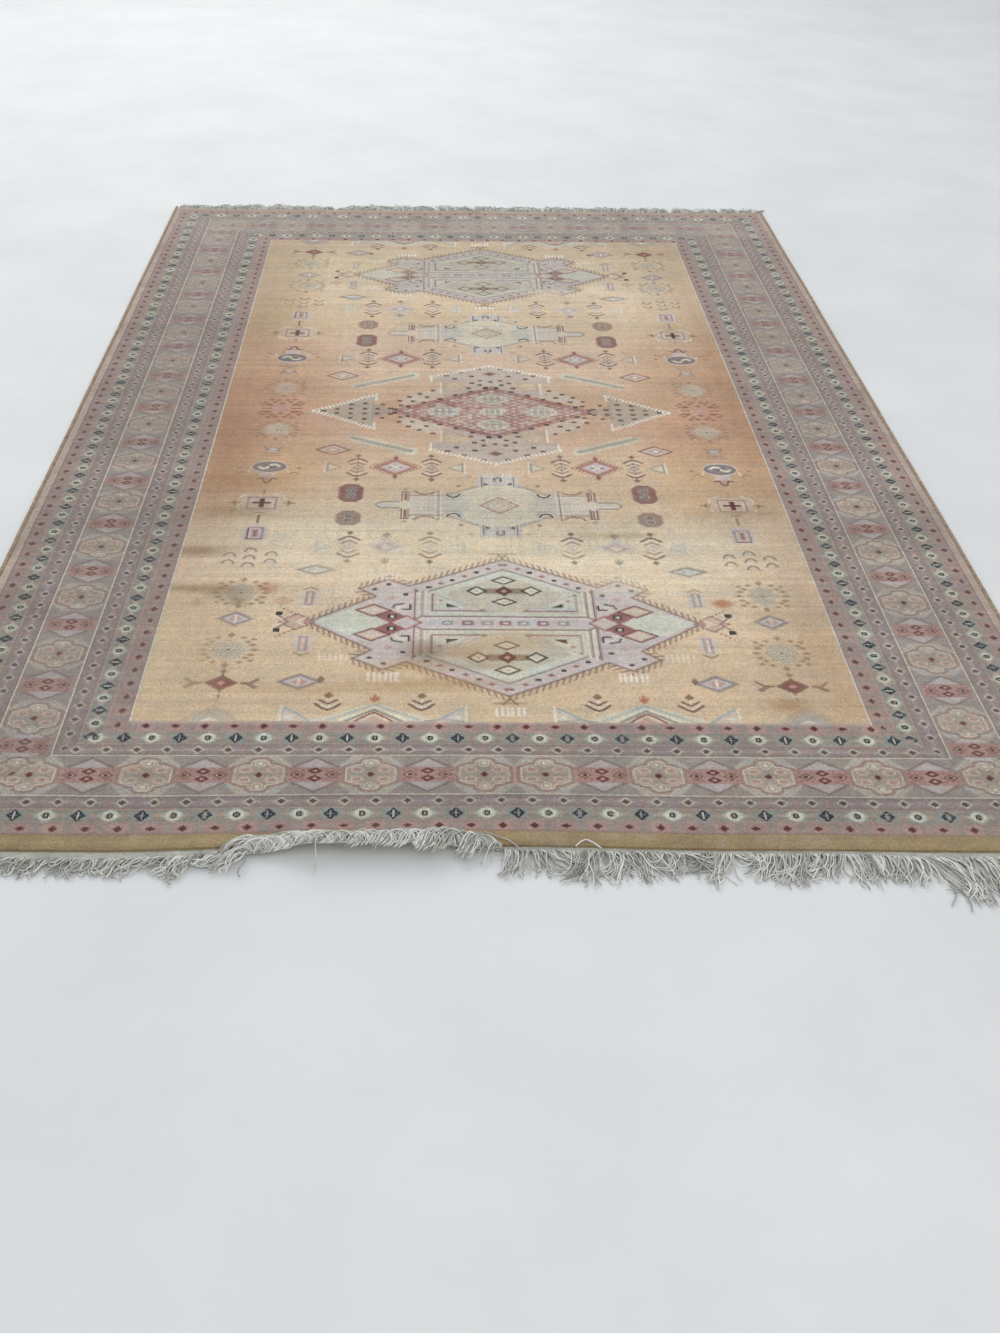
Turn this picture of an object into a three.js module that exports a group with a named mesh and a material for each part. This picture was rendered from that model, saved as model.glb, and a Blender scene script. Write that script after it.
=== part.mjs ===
// Hand-knotted area rug, as it lies on a floor.
//
// Millimetres, +Z up. The origin is on the floor under the middle of the rug. +Y runs along the
// rug's length, from the front end to the back end, and +X runs across it to the right.
//
// A knotted rug is built in layers: cotton warps run the whole length, cotton wefts cross them, and
// rows of wool knots stand on that foundation as pile. The pile is one block per pattern band: the
// field, and round it eight border bands, each with a left, right, front and back strip. A cord of
// overcast warps (the selvedge) binds each long side. At each short end the wefts carry on as a
// narrow flat weave, a row of knots locks it, and the warp ends hang out as the fringe.
// A stretch of the front end is curled up off the floor.

import * as THREE from 'three';

// ---- Driving dimensions ----

// Layers, from the floor up.
const WARP_LAYER = 1.6;
const WEFT_LAYER = 1.5;
const PILE_HEIGHT = 6.0;
const CLEARANCE = 0.3;

// The field, inside all the borders.
const FIELD_WIDTH = 1190;
const FIELD_LENGTH = 2184;

// Border bands from the field outwards: width along the long sides, and width across the ends,
// where the knots are packed closer.
const BANDS = [
  { name: 'inner_rose_guard', side: 37, end: 25, slot: 'rose' },
  { name: 'inner_mint_guard', side: 36, end: 32, slot: 'mint' },
  { name: 'inner_mauve_guard', side: 32, end: 24, slot: 'mauve' },
  { name: 'main_border', side: 98, end: 92, slot: 'border' },
  { name: 'outer_mauve_guard', side: 35, end: 25, slot: 'mauve' },
  { name: 'outer_mint_guard', side: 32, end: 30, slot: 'mint' },
  { name: 'outer_rose_guard', side: 31, end: 24, slot: 'rose' },
  { name: 'edge_band', side: 15, end: 26, slot: 'tan' },
];

// Selvedge: a core of warps, overcast with wool.
const SELVEDGE_DIAMETER = 9;
const SELVEDGE_CORE_DIAMETER = 5;
const SELVEDGE_SIDES = 12;

// Flat-woven end and the row of knots that locks it.
const KILIM_WIDTH = 12;
const KILIM_THICKNESS = 2.6;
const KNOT_ROW_WIDTH = 4;
const KNOT_ROW_HEIGHT = 4.2;

// Fringe: each node is a comb of tassels that share the strip where they leave the knots.
const FRINGE_SECTIONS = 6;
const FRINGE_ROOT = 12;
const FRINGE_LENGTH = 62;
const FRINGE_LENGTH_SPREAD = 14;
const FRINGE_THICKNESS = 4;
const TASSEL_PITCH = 28;
const TASSEL_WIDTH = 21;
const TASSEL_TIP_WIDTH = 12;

// The curled-up stretch of the front end.
const CURL_LEFT = -370;
const CURL_RIGHT = 10;
const CURL_LEFT_RAMP = 90;
const CURL_RIGHT_RAMP = 170;
const CURL_HEIGHT = 26;
const CURL_REACH = 58;
const CURL_DROP = 45;
const CURL_CELLS_X = 13;
const CURL_CELL_Y = 12;

// ---- Sizes that follow from them ----

const sum = (values) => values.reduce((total, value) => total + value, 0);
const pileHalfWidth = FIELD_WIDTH / 2 + sum(BANDS.map((band) => band.side));
const pileHalfLength = FIELD_LENGTH / 2 + sum(BANDS.map((band) => band.end));
const kilimEnd = pileHalfLength + KILIM_WIDTH;
const knotRowEnd = kilimEnd + KNOT_ROW_WIDTH;
const weftBottom = WARP_LAYER + CLEARANCE;
const pileBottom = weftBottom + WEFT_LAYER + CLEARANCE;
const pileTop = pileBottom + PILE_HEIGHT;
const halfGap = CLEARANCE / 2;

// ---- Materials ----

const wool = (color) => new THREE.MeshStandardMaterial({ color, roughness: 0.92, metalness: 0 });
const MATERIALS = {
  field: wool('#cdae80'),
  rose: wool('#a2817a'),
  mint: wool('#a3aa9e'),
  mauve: wool('#9d8f89'),
  border: wool('#a4968f'),
  tan: wool('#b39a75'),
  cotton: wool('#b9b8ab'),
  fringe: wool('#a3a396'),
};

// ---- How the rug lies ----

const smoothStep = (t) => {
  const s = Math.min(Math.max(t, 0), 1);
  return s * s * (3 - 2 * s);
};

const curlHeightAt = (x) =>
  CURL_HEIGHT * smoothStep((x - CURL_LEFT) / CURL_LEFT_RAMP) * smoothStep((CURL_RIGHT - x) / CURL_RIGHT_RAMP);

// Height of the underside above the floor: it rises towards the front end, and the fringe falls
// from there back to the floor.
const lift = (x, y) => {
  const curlStart = pileHalfLength - CURL_REACH;
  const rise = THREE.MathUtils.clamp((-y - curlStart) / (knotRowEnd - curlStart), 0, 1) ** 2;
  const fall = THREE.MathUtils.clamp((-y - knotRowEnd) / CURL_DROP, 0, 1);
  return curlHeightAt(x) * rise * (1 - fall);
};

// Shared lines on which every layer bends, so that stacked layers stay parallel.
const bandEdges = BANDS.reduce((edges, band) => [...edges, edges.at(-1) + band.end], [FIELD_LENGTH / 2]);
const curlLinesX = Array.from(
  { length: CURL_CELLS_X + 1 },
  (_, i) => CURL_LEFT + ((CURL_RIGHT - CURL_LEFT) * i) / CURL_CELLS_X,
);
const curlLinesY = (() => {
  const stops = [pileHalfLength - CURL_REACH, ...bandEdges.filter((y) => y > pileHalfLength - CURL_REACH)];
  const lines = [];
  stops.forEach((stop, i) => {
    const next = stops[i + 1] ?? knotRowEnd;
    const cells = Math.max(1, Math.round((next - stop) / CURL_CELL_Y));
    for (let c = 0; c < cells; c += 1) lines.push(-(stop + ((next - stop) * c) / cells));
  });
  return lines;
})();

const between = (low, high, lines) => {
  const inside = lines.filter((line) => line > low + CLEARANCE && line < high - CLEARANCE);
  return [low, ...inside.sort((a, b) => a - b), high];
};

// ---- Shapes ----

// A closed block over a rectangle of the rug, bent to follow how the rug lies.
function laidBlock(x0, x1, y0, y1, bottom, top) {
  const xs = between(x0, x1, curlLinesX);
  const ys = y0 < -(pileHalfLength - CURL_REACH) ? between(y0, y1, curlLinesY) : [y0, y1];
  const columns = xs.length;
  const rows = ys.length;
  const positions = [];
  for (const height of [bottom, top]) {
    for (const y of ys) {
      for (const x of xs) positions.push(x, y, height + lift(x, y));
    }
  }
  const layer = columns * rows;
  const at = (i, j, upper) => (upper ? layer : 0) + j * columns + i;
  const triangles = [];
  const quad = (a, b, c, d) => triangles.push(a, b, c, a, c, d);
  for (let j = 0; j < rows - 1; j += 1) {
    for (let i = 0; i < columns - 1; i += 1) {
      quad(at(i, j, 1), at(i + 1, j, 1), at(i + 1, j + 1, 1), at(i, j + 1, 1));
      const [a, b, c, d] = [at(i, j, 0), at(i + 1, j, 0), at(i + 1, j + 1, 0), at(i, j + 1, 0)];
      triangles.push(a, c, b, a, d, c);
    }
  }
  for (let i = 0; i < columns - 1; i += 1) {
    quad(at(i, 0, 0), at(i + 1, 0, 0), at(i + 1, 0, 1), at(i, 0, 1));
    quad(at(i + 1, rows - 1, 0), at(i, rows - 1, 0), at(i, rows - 1, 1), at(i + 1, rows - 1, 1));
  }
  for (let j = 0; j < rows - 1; j += 1) {
    quad(at(0, j + 1, 0), at(0, j, 0), at(0, j, 1), at(0, j + 1, 1));
    quad(at(columns - 1, j, 0), at(columns - 1, j + 1, 0), at(columns - 1, j + 1, 1), at(columns - 1, j, 1));
  }
  const geometry = new THREE.BufferGeometry();
  geometry.setAttribute('position', new THREE.Float32BufferAttribute(positions, 3));
  geometry.setIndex(triangles);
  geometry.computeVertexNormals();
  return geometry;
}

// A round cord along the rug, solid or with a round bore.
function cord(diameter, bore, length) {
  const outline = new THREE.Shape().absarc(0, 0, diameter / 2, 0, 2 * Math.PI);
  if (bore > 0) outline.holes.push(new THREE.Path().absarc(0, 0, bore / 2, 0, 2 * Math.PI, true));
  const geometry = new THREE.ExtrudeGeometry(outline, {
    depth: length,
    bevelEnabled: false,
    curveSegments: SELVEDGE_SIDES,
  });
  geometry.rotateX(Math.PI / 2);
  geometry.translate(0, length / 2, 0);
  return geometry;
}

// One comb of fringe: a strip with tassels that taper to uneven tips, pointing along -Y from the
// front end or +Y from the back end.
function fringeComb(x0, x1, outward) {
  const count = Math.max(1, Math.round((x1 - x0) / TASSEL_PITCH));
  const pitch = (x1 - x0) / count;
  const start = knotRowEnd + halfGap;
  const outline = new THREE.Shape();
  outline.moveTo(x0, outward * start);
  outline.lineTo(x0, outward * (start + FRINGE_ROOT));
  for (let i = 0; i < count; i += 1) {
    const middle = x0 + (i + 0.5) * pitch;
    const tip = start + FRINGE_LENGTH + FRINGE_LENGTH_SPREAD * Math.sin(i * 2.4 + x0 / 37);
    outline.lineTo(middle - TASSEL_WIDTH / 2, outward * (start + FRINGE_ROOT));
    outline.lineTo(middle - TASSEL_TIP_WIDTH / 2, outward * tip);
    outline.lineTo(middle + TASSEL_TIP_WIDTH / 2, outward * tip);
    outline.lineTo(middle + TASSEL_WIDTH / 2, outward * (start + FRINGE_ROOT));
  }
  outline.lineTo(x1, outward * (start + FRINGE_ROOT));
  outline.lineTo(x1, outward * start);
  const geometry = new THREE.ExtrudeGeometry(outline, { depth: FRINGE_THICKNESS, bevelEnabled: false });
  const position = geometry.attributes.position;
  for (let v = 0; v < position.count; v += 1) {
    position.setZ(v, position.getZ(v) + lift(position.getX(v), position.getY(v)));
  }
  return geometry;
}

// ---- The rug ----

const rug = new THREE.Group();

function add(name, geometry, material) {
  const mesh = new THREE.Mesh(geometry, material);
  mesh.name = name;
  rug.add(mesh);
  return mesh;
}

function addFoundation() {
  const [x, y] = [pileHalfWidth - halfGap, pileHalfLength - halfGap];
  add('warp_foundation', laidBlock(-x, x, -y, y, 0, WARP_LAYER), MATERIALS.cotton);
  add('weft_foundation', laidBlock(-x, x, -y, y, weftBottom, weftBottom + WEFT_LAYER), MATERIALS.cotton);
}

function addPile() {
  const block = (x0, x1, y0, y1) =>
    laidBlock(x0 + halfGap, x1 - halfGap, y0 + halfGap, y1 - halfGap, pileBottom, pileTop);
  let x = FIELD_WIDTH / 2;
  let y = FIELD_LENGTH / 2;
  add('field_pile', block(-x, x, -y, y), MATERIALS.field);
  for (const band of BANDS) {
    const [outerX, outerY] = [x + band.side, y + band.end];
    const material = MATERIALS[band.slot];
    add(`${band.name}_left`, block(-outerX, -x, -outerY, outerY), material);
    add(`${band.name}_right`, block(x, outerX, -outerY, outerY), material);
    add(`${band.name}_front`, block(-x, x, -outerY, -y), material);
    add(`${band.name}_back`, block(-x, x, y, outerY), material);
    [x, y] = [outerX, outerY];
  }
}

function addSelvedges() {
  const length = 2 * knotRowEnd;
  for (const [side, sign] of [['left', -1], ['right', 1]]) {
    const x = sign * (pileHalfWidth + halfGap + SELVEDGE_DIAMETER / 2);
    const core = add(`selvedge_core_${side}`, cord(SELVEDGE_CORE_DIAMETER, 0, length), MATERIALS.cotton);
    const bore = SELVEDGE_CORE_DIAMETER + 2 * CLEARANCE;
    const wrap = add(`selvedge_wrap_${side}`, cord(SELVEDGE_DIAMETER, bore, length), MATERIALS.tan);
    core.position.set(x, 0, SELVEDGE_DIAMETER / 2);
    wrap.position.set(x, 0, SELVEDGE_DIAMETER / 2);
  }
}

function addEnds() {
  const x = pileHalfWidth - halfGap;
  for (const [end, sign] of [['front', -1], ['back', 1]]) {
    const strip = (y0, y1, height) => {
      const [low, high] = sign < 0 ? [-y1, -y0] : [y0, y1];
      return laidBlock(-x, x, low + halfGap, high - halfGap, 0, height);
    };
    add(`kilim_end_${end}`, strip(pileHalfLength, kilimEnd, KILIM_THICKNESS), MATERIALS.cotton);
    add(`end_knot_row_${end}`, strip(kilimEnd, knotRowEnd, KNOT_ROW_HEIGHT), MATERIALS.cotton);
    const section = (2 * x) / FRINGE_SECTIONS;
    for (let i = 0; i < FRINGE_SECTIONS; i += 1) {
      const x0 = -x + i * section + halfGap;
      const x1 = -x + (i + 1) * section - halfGap;
      add(`fringe_${end}_${i + 1}`, fringeComb(x0, x1, sign), MATERIALS.fringe);
    }
  }
}

addFoundation();
addPile();
addSelvedges();
addEnds();

export default rug;
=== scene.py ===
"""A hand-knotted wool area rug, about six by nine feet, laid on a pale floor.

The rug is made as a weaver makes it: a cotton foundation, wool pile knotted from a drawn chart,
overcast selvedges, flat-woven ends with a locking row of knots, and a cotton fringe.
Lengths in the chart are millimetres and everything built is in metres: x across the rug,
y along it with the far end at +y, z up from the floor.
"""

import logging
import math
from dataclasses import dataclass, field
from enum import Enum
from typing import Callable

import bpy
import numpy as np
from mathutils import Matrix, Vector


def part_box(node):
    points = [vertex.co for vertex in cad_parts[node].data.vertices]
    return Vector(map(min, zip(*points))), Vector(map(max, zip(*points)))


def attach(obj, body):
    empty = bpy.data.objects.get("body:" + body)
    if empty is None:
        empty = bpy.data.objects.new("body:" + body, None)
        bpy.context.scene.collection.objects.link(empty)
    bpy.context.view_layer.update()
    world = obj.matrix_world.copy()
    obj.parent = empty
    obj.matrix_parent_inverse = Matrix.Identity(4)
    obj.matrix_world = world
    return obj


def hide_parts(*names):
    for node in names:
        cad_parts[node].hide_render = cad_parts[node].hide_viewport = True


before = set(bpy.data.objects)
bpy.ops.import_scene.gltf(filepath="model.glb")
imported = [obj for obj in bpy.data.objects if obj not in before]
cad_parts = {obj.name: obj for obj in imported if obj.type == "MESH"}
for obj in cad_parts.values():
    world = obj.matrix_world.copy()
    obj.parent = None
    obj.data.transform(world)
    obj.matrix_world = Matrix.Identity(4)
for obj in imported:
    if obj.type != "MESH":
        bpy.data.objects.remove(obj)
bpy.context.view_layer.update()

log = logging.getLogger("area_rug")

MM = 0.001
SEED = 20261
FULL_TURN = 6.28  # radians, for the phase of a random wave

Array = np.ndarray
Point = tuple[float, float]
Outline = list[Point]
Piece = bpy.types.Object
Material = bpy.types.Material
Socket = bpy.types.NodeSocket


# ---------------------------------------------------------------------------------------------
# Wools and cottons
# ---------------------------------------------------------------------------------------------


def linear(code: str) -> Array:
    """Turn a display colour into the linear colour that the shaders take.

    Args:
        code: the colour as #RRGGBB.

    Returns:
        Three linear values.
    """
    part = np.array([int(code[i : i + 2], 16) for i in (1, 3, 5)]) / 255.0
    return np.where(part <= 0.04045, part / 12.92, ((part + 0.055) / 1.055) ** 2.4)


class Wool(Enum):
    """The dye lots of the pile, as they have faded."""

    GOLD = "#C9AC7E"
    CREAM = "#E6DEC9"
    WHITE = "#F4EADA"
    BROWN = "#8E7359"
    MAUVE = "#968A87"
    LAVENDER = "#D2C8C7"
    ROSE = "#9C7F78"
    PINK = "#C49C92"
    RED = "#92504C"
    DARK_RED = "#5F2F31"
    MINT = "#98978B"
    PALE_MINT = "#DADCCA"
    SKY = "#A3B0B6"
    NAVY = "#1F2531"
    INK = "#3F3C3B"
    GREY = "#99958D"
    TAN = "#A4906C"
    BORDER = "#A1958F"
    GUARD = "#A4918A"
    LINE = "#7F5D59"
    EDGE = "#BDAB9E"
    CLAY = "#B38C82"
    MOSS = "#414741"
    SAND = "#BCA489"
    ORANGE = "#B87C5C"

    @property
    def dye(self) -> Array:
        """The linear colour."""
        return DYES[self]


DYES: dict[Wool, Array] = {wool: linear(wool.value) for wool in Wool}


# ---------------------------------------------------------------------------------------------
# How the rug lies on the floor
# ---------------------------------------------------------------------------------------------


def smooth(t: Array) -> Array:
    """Ease from 0 to 1 as t goes from 0 to 1."""
    s = np.clip(t, 0.0, 1.0)
    return s * s * (3.0 - 2.0 * s)


@dataclass(frozen=True)
class Lay:
    """How the cloth lies: the front end's curl, small ripples, and a hand-woven outline (mm)."""

    pile_half_length: float = 1370.0
    knot_row_end: float = 1386.0
    curl_left: float = -370.0
    curl_right: float = 10.0
    curl_left_ramp: float = 90.0
    curl_right_ramp: float = 170.0
    curl_height: float = 26.0
    curl_reach: float = 58.0
    curl_drop: float = 45.0

    def curl(self, x: Array) -> Array:
        """Height of the curl at the very end, at x."""
        left = smooth((x - self.curl_left) / self.curl_left_ramp)
        rising = 5.0 / self.curl_height * smooth((x - self.curl_left + 230.0) / 200.0)
        right = smooth((self.curl_right - x) / self.curl_right_ramp)
        return self.curl_height * np.maximum(left, rising) * right

    def lift(self, x: Array, y: Array) -> Array:
        """Height of the underside above the floor from the curl alone, as in the CAD model."""
        start = self.pile_half_length - self.curl_reach
        rise = np.clip((-y - start) / (self.knot_row_end - start), 0.0, 1.0) ** 2
        fall = np.clip((-y - self.knot_row_end) / self.curl_drop, 0.0, 1.0)
        return self.curl(x) * rise * (1.0 - fall)

    def ripple(self, x: Array, y: Array) -> Array:
        """Low swells where the cloth has not settled on the floor, never under it."""
        swell = 0.9 * (1 + np.sin(x / 240.0 + 1.3 * np.sin(y / 410.0))) * 0.5
        swell = swell + 0.8 * (1 + np.sin(y / 330.0 + 0.9 * np.sin(x / 300.0 + 1.0))) * 0.5
        near_end = smooth((-y - 1150.0) / 230.0)
        buckle = 1.6 * near_end * (1 + np.sin(x / 62.0 + 0.7)) * 0.5
        far_end = smooth((y - 1200.0) / 180.0)
        buckle = buckle + 1.4 * far_end * (1 + np.sin(x / 71.0 + 2.1)) * 0.5
        edge = smooth((np.abs(x) - 800.0) / 110.0)
        buckle = buckle + 1.2 * edge * (1 + np.sin(y / 95.0 + 0.4 * np.sin(y / 31.0))) * 0.5
        return swell + buckle

    def place(self, points: Array) -> Array:
        """Lay flat points of the cloth on the floor.

        Args:
            points: n by 3, in millimetres, as if the rug were flat and true.

        Returns:
            The same points where they lie, in metres.
        """
        x, y, z = points[:, 0], points[:, 1], points[:, 2]
        widen = 0.004 + 0.011 * np.clip((y + 300.0) / 1500.0, -0.8, 1.0)
        bow = 7.0 * smooth((y + 1150.0) / 900.0) * (1.0 - 0.6 * (x / 930.0) ** 2)
        skew = -0.008 + 0.0125 * y * MM
        pull = 12.0 * smooth((x + 700.0) / 700.0) - 4.0 * smooth(x / 400.0)
        draw_in = pull * np.clip((-y - 1000.0) / 300.0, 0.0, 1.3)
        out_x = x * (1.0 + widen) + bow
        out_y = y + x * skew + draw_in
        settled = smooth((np.abs(y) - self.knot_row_end) / 30.0)
        out_z = z + self.lift(x, y) + self.ripple(x, y) * (1.0 - settled)
        return np.stack([out_x, out_y, out_z], axis=1) * MM


LAY = Lay()


# ---------------------------------------------------------------------------------------------
# The knot chart
# ---------------------------------------------------------------------------------------------


def grain(x: Array, y: Array) -> Array:
    """A fixed random value from 0 to 1 for each place, the same wherever it is asked for."""
    mixed = np.sin(x * 12.9898 + y * 78.233) * 43758.5453
    return mixed - np.floor(mixed)


def inside(corners: Outline, a: Array, b: Array) -> Array:
    """Tell which points lie in a polygon.

    Args:
        corners: the polygon's corners in order.
        a: the points' first coordinate.
        b: the points' second coordinate.

    Returns:
        True where a point is inside.
    """
    hit = np.zeros(a.shape, dtype=bool)
    for (a0, b0), (a1, b1) in zip(corners, corners[1:] + corners[:1]):
        if b0 == b1:
            continue
        crosses = (b0 > b) != (b1 > b)
        hit ^= crosses & (a < (a1 - a0) * (b - b0) / (b1 - b0) + a0)
    return hit


def along(stops: Outline, a: Array, b: Array) -> tuple[Array, Array]:
    """Measure points against a broken line.

    Args:
        stops: the line's corners in order.
        a: the points' first coordinate.
        b: the points' second coordinate.

    Returns:
        Each point's distance from the line, and how far along the line its foot lies.
    """
    best = np.full(a.shape, np.inf)
    place = np.zeros(a.shape)
    run = 0.0
    for (a0, b0), (a1, b1) in zip(stops, stops[1:]):
        da, db = a1 - a0, b1 - b0
        length = math.hypot(da, db)
        t = np.clip(((a - a0) * da + (b - b0) * db) / length**2, 0.0, 1.0)
        gap = np.hypot(a - a0 - t * da, b - b0 - t * db)
        closer = gap < best
        best = np.where(closer, gap, best)
        place = np.where(closer, run + t * length, place)
        run += length
    return best, place


def patchwork(x: Array, y: Array, cell: float, seed: int) -> Array:
    """Soft uneven patches over the rug.

    Args:
        x: across the rug, in millimetres.
        y: along the rug, in millimetres.
        cell: the patches' size, in millimetres.
        seed: which patches.

    Returns:
        Values about 0, mostly between -1 and 1.
    """
    half_x, half_y = 950.0, 1450.0
    columns, rows = int(2 * half_x / cell) + 3, int(2 * half_y / cell) + 3
    grid = np.random.default_rng(seed).normal(size=(columns, rows)) * 0.8
    a, b = (x + half_x) / cell, (y + half_y) / cell
    i = np.clip(a.astype(int), 0, columns - 2)
    j = np.clip(b.astype(int), 0, rows - 2)
    s, t = smooth(a - i), smooth(b - j)
    low = grid[i, j] * (1 - s) + grid[i + 1, j] * s
    high = grid[i, j + 1] * (1 - s) + grid[i + 1, j + 1] * s
    return low * (1 - t) + high * t


DASH_SHARE = 0.55  # how much of a dash and its gap is dash
TOOTH_SHARE = 0.52  # the same for a comb's teeth
OFF_CHART = 1e6  # a distance no motif reaches, in millimetres
LINE_COVER = 0.65  # below 1, a line covers its ground more than its share alone would


class Chart:
    """The weaver's chart for a patch of pile: one colour for each knot."""

    def __init__(self, x: Array, y: Array) -> None:
        """Take the knots' places.

        Args:
            x: across the rug, in millimetres.
            y: along the rug, in millimetres.
        """
        self.x = x
        self.y = y
        self.rgb = np.zeros((x.size, 3))

    def tint(self, code: str, amount: Array) -> None:
        """Pull every knot toward the colour code by its own amount, from 0 to 1."""
        self.rgb += (linear(code) - self.rgb) * amount[:, None]

    def motif(self, a: Array, b: Array, reach_a: float, reach_b: float) -> "Motif":
        """Open the part of the chart round a motif.

        Args:
            a: each knot's distance from the motif's middle across it.
            b: the same along it.
            reach_a: how far the motif reaches across.
            reach_b: how far it reaches along.

        Returns:
            The knots of that part.
        """
        return Motif(self, np.flatnonzero((np.abs(a) < reach_a) & (np.abs(b) < reach_b)), a, b)


class Motif:
    """The knots round one motif, with a across it and b along it, in millimetres."""

    def __init__(self, chart: Chart, knots: Array, a: Array, b: Array) -> None:
        """Keep the knots' numbers and their places in the motif."""
        self.chart = chart
        self.knots = knots
        self.a = a[knots]
        self.b = b[knots]

    def dye(self, mask: Array, wool: Wool, share: float = 1.0) -> None:
        """Tie the masked knots in a wool.

        Args:
            mask: which of the motif's knots.
            wool: the dye lot.
            share: how much of the old colour it covers.
        """
        hit = self.knots[mask]
        rgb = self.chart.rgb
        rgb[hit] += (wool.dye - rgb[hit]) * share

    def tint(self, rgb: Array, amount: Array) -> None:
        """Pull every knot of the motif toward a linear colour by its own amount."""
        old = self.chart.rgb[self.knots]
        self.chart.rgb[self.knots] += (rgb - old) * amount[:, None]

    def diamond(
        self, wool: Wool, half_a: float, half_b: float, at: Point = (0, 0),
        ring: float = 0.0, share: float = 1.0,
    ) -> None:
        """Tie a diamond, whole or only its outline.

        Args:
            wool: the dye lot.
            half_a: half its width.
            half_b: half its height.
            at: its middle.
            ring: the outline's width, or 0 for a whole diamond.
            share: how much of the old colour it covers.
        """
        size = np.abs(self.a - at[0]) / half_a + np.abs(self.b - at[1]) / half_b
        mask = size < 1.0
        if ring:
            mask &= size > 1.0 - ring / min(half_a, half_b)
        self.dye(mask, wool, share)

    def box(
        self, wool: Wool, half_a: float, half_b: float, at: Point = (0, 0),
        ring: float = 0.0, share: float = 1.0,
    ) -> None:
        """Tie a rectangle, whole or only its outline, with the same arguments as diamond."""
        out_a = np.abs(self.a - at[0])
        out_b = np.abs(self.b - at[1])
        mask = (out_a < half_a) & (out_b < half_b)
        if ring:
            mask &= (out_a > half_a - ring) | (out_b > half_b - ring)
        self.dye(mask, wool, share)

    def oval(
        self, wool: Wool, half_a: float, half_b: float, at: Point = (0, 0),
        ring: float = 0.0, share: float = 1.0,
    ) -> None:
        """Tie an oval, whole or only its outline, with the same arguments as diamond."""
        size = np.hypot((self.a - at[0]) / half_a, (self.b - at[1]) / half_b)
        mask = size < 1.0
        if ring:
            mask &= size > 1.0 - ring / min(half_a, half_b)
        self.dye(mask, wool, share)

    def shape(self, wool: Wool, corners: Outline, share: float = 1.0) -> None:
        """Tie a polygon given by its corners."""
        self.dye(inside(corners, self.a, self.b), wool, share)

    def line(
        self, wool: Wool, stops: Outline, width: float,
        dash: float = 0.0, share: float = 1.0,
    ) -> None:
        """Tie a broken line.

        Args:
            wool: the dye lot.
            stops: the line's corners.
            width: its width.
            dash: the length of a dash and its gap together, or 0 for an unbroken line.
            share: how much of the old colour it covers.
        """
        gap, place = along(stops, self.a, self.b)
        mask = gap < width * 0.5
        if dash:
            mask &= (place / dash) % 1.0 < DASH_SHARE
        self.dye(mask, wool, share**LINE_COVER)

    def comb(self, wool: Wool, stops: Outline, tall: float, pitch: float) -> None:
        """Tie teeth along a slanted line, each reaching tall to both sides of it."""
        gap, place = along(stops, self.a, self.b)
        self.dye((gap < tall) & ((place / pitch) % 1.0 < TOOTH_SHARE), wool)


@dataclass(frozen=True)
class Band:
    """One border band: its name and its width along the sides and across the ends."""

    name: str
    side: float
    end: float
    slot: str


BANDS = (
    Band("inner_rose_guard", 37, 25, "rose_wool"),
    Band("inner_mint_guard", 36, 32, "mint_wool"),
    Band("inner_mauve_guard", 32, 24, "mauve_wool"),
    Band("main_border", 98, 92, "border_wool"),
    Band("outer_mauve_guard", 35, 25, "mauve_wool"),
    Band("outer_mint_guard", 32, 30, "mint_wool"),
    Band("outer_rose_guard", 31, 24, "rose_wool"),
    Band("edge_band", 15, 26, "tan_wool"),
)
FIELD_HALF_WIDTH = 595.0
FIELD_HALF_LENGTH = 1092.0
DESIGN_SHIFT = 12.0


def ring_edges() -> tuple[list[float], list[float]]:
    """Half widths and half lengths of the rings between the bands, from the field outwards."""
    across, length = [FIELD_HALF_WIDTH], [FIELD_HALF_LENGTH]
    for band in BANDS:
        across.append(across[-1] + band.side)
        length.append(length[-1] + band.end)
    return across, length


RING_X, RING_Y = ring_edges()


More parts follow.
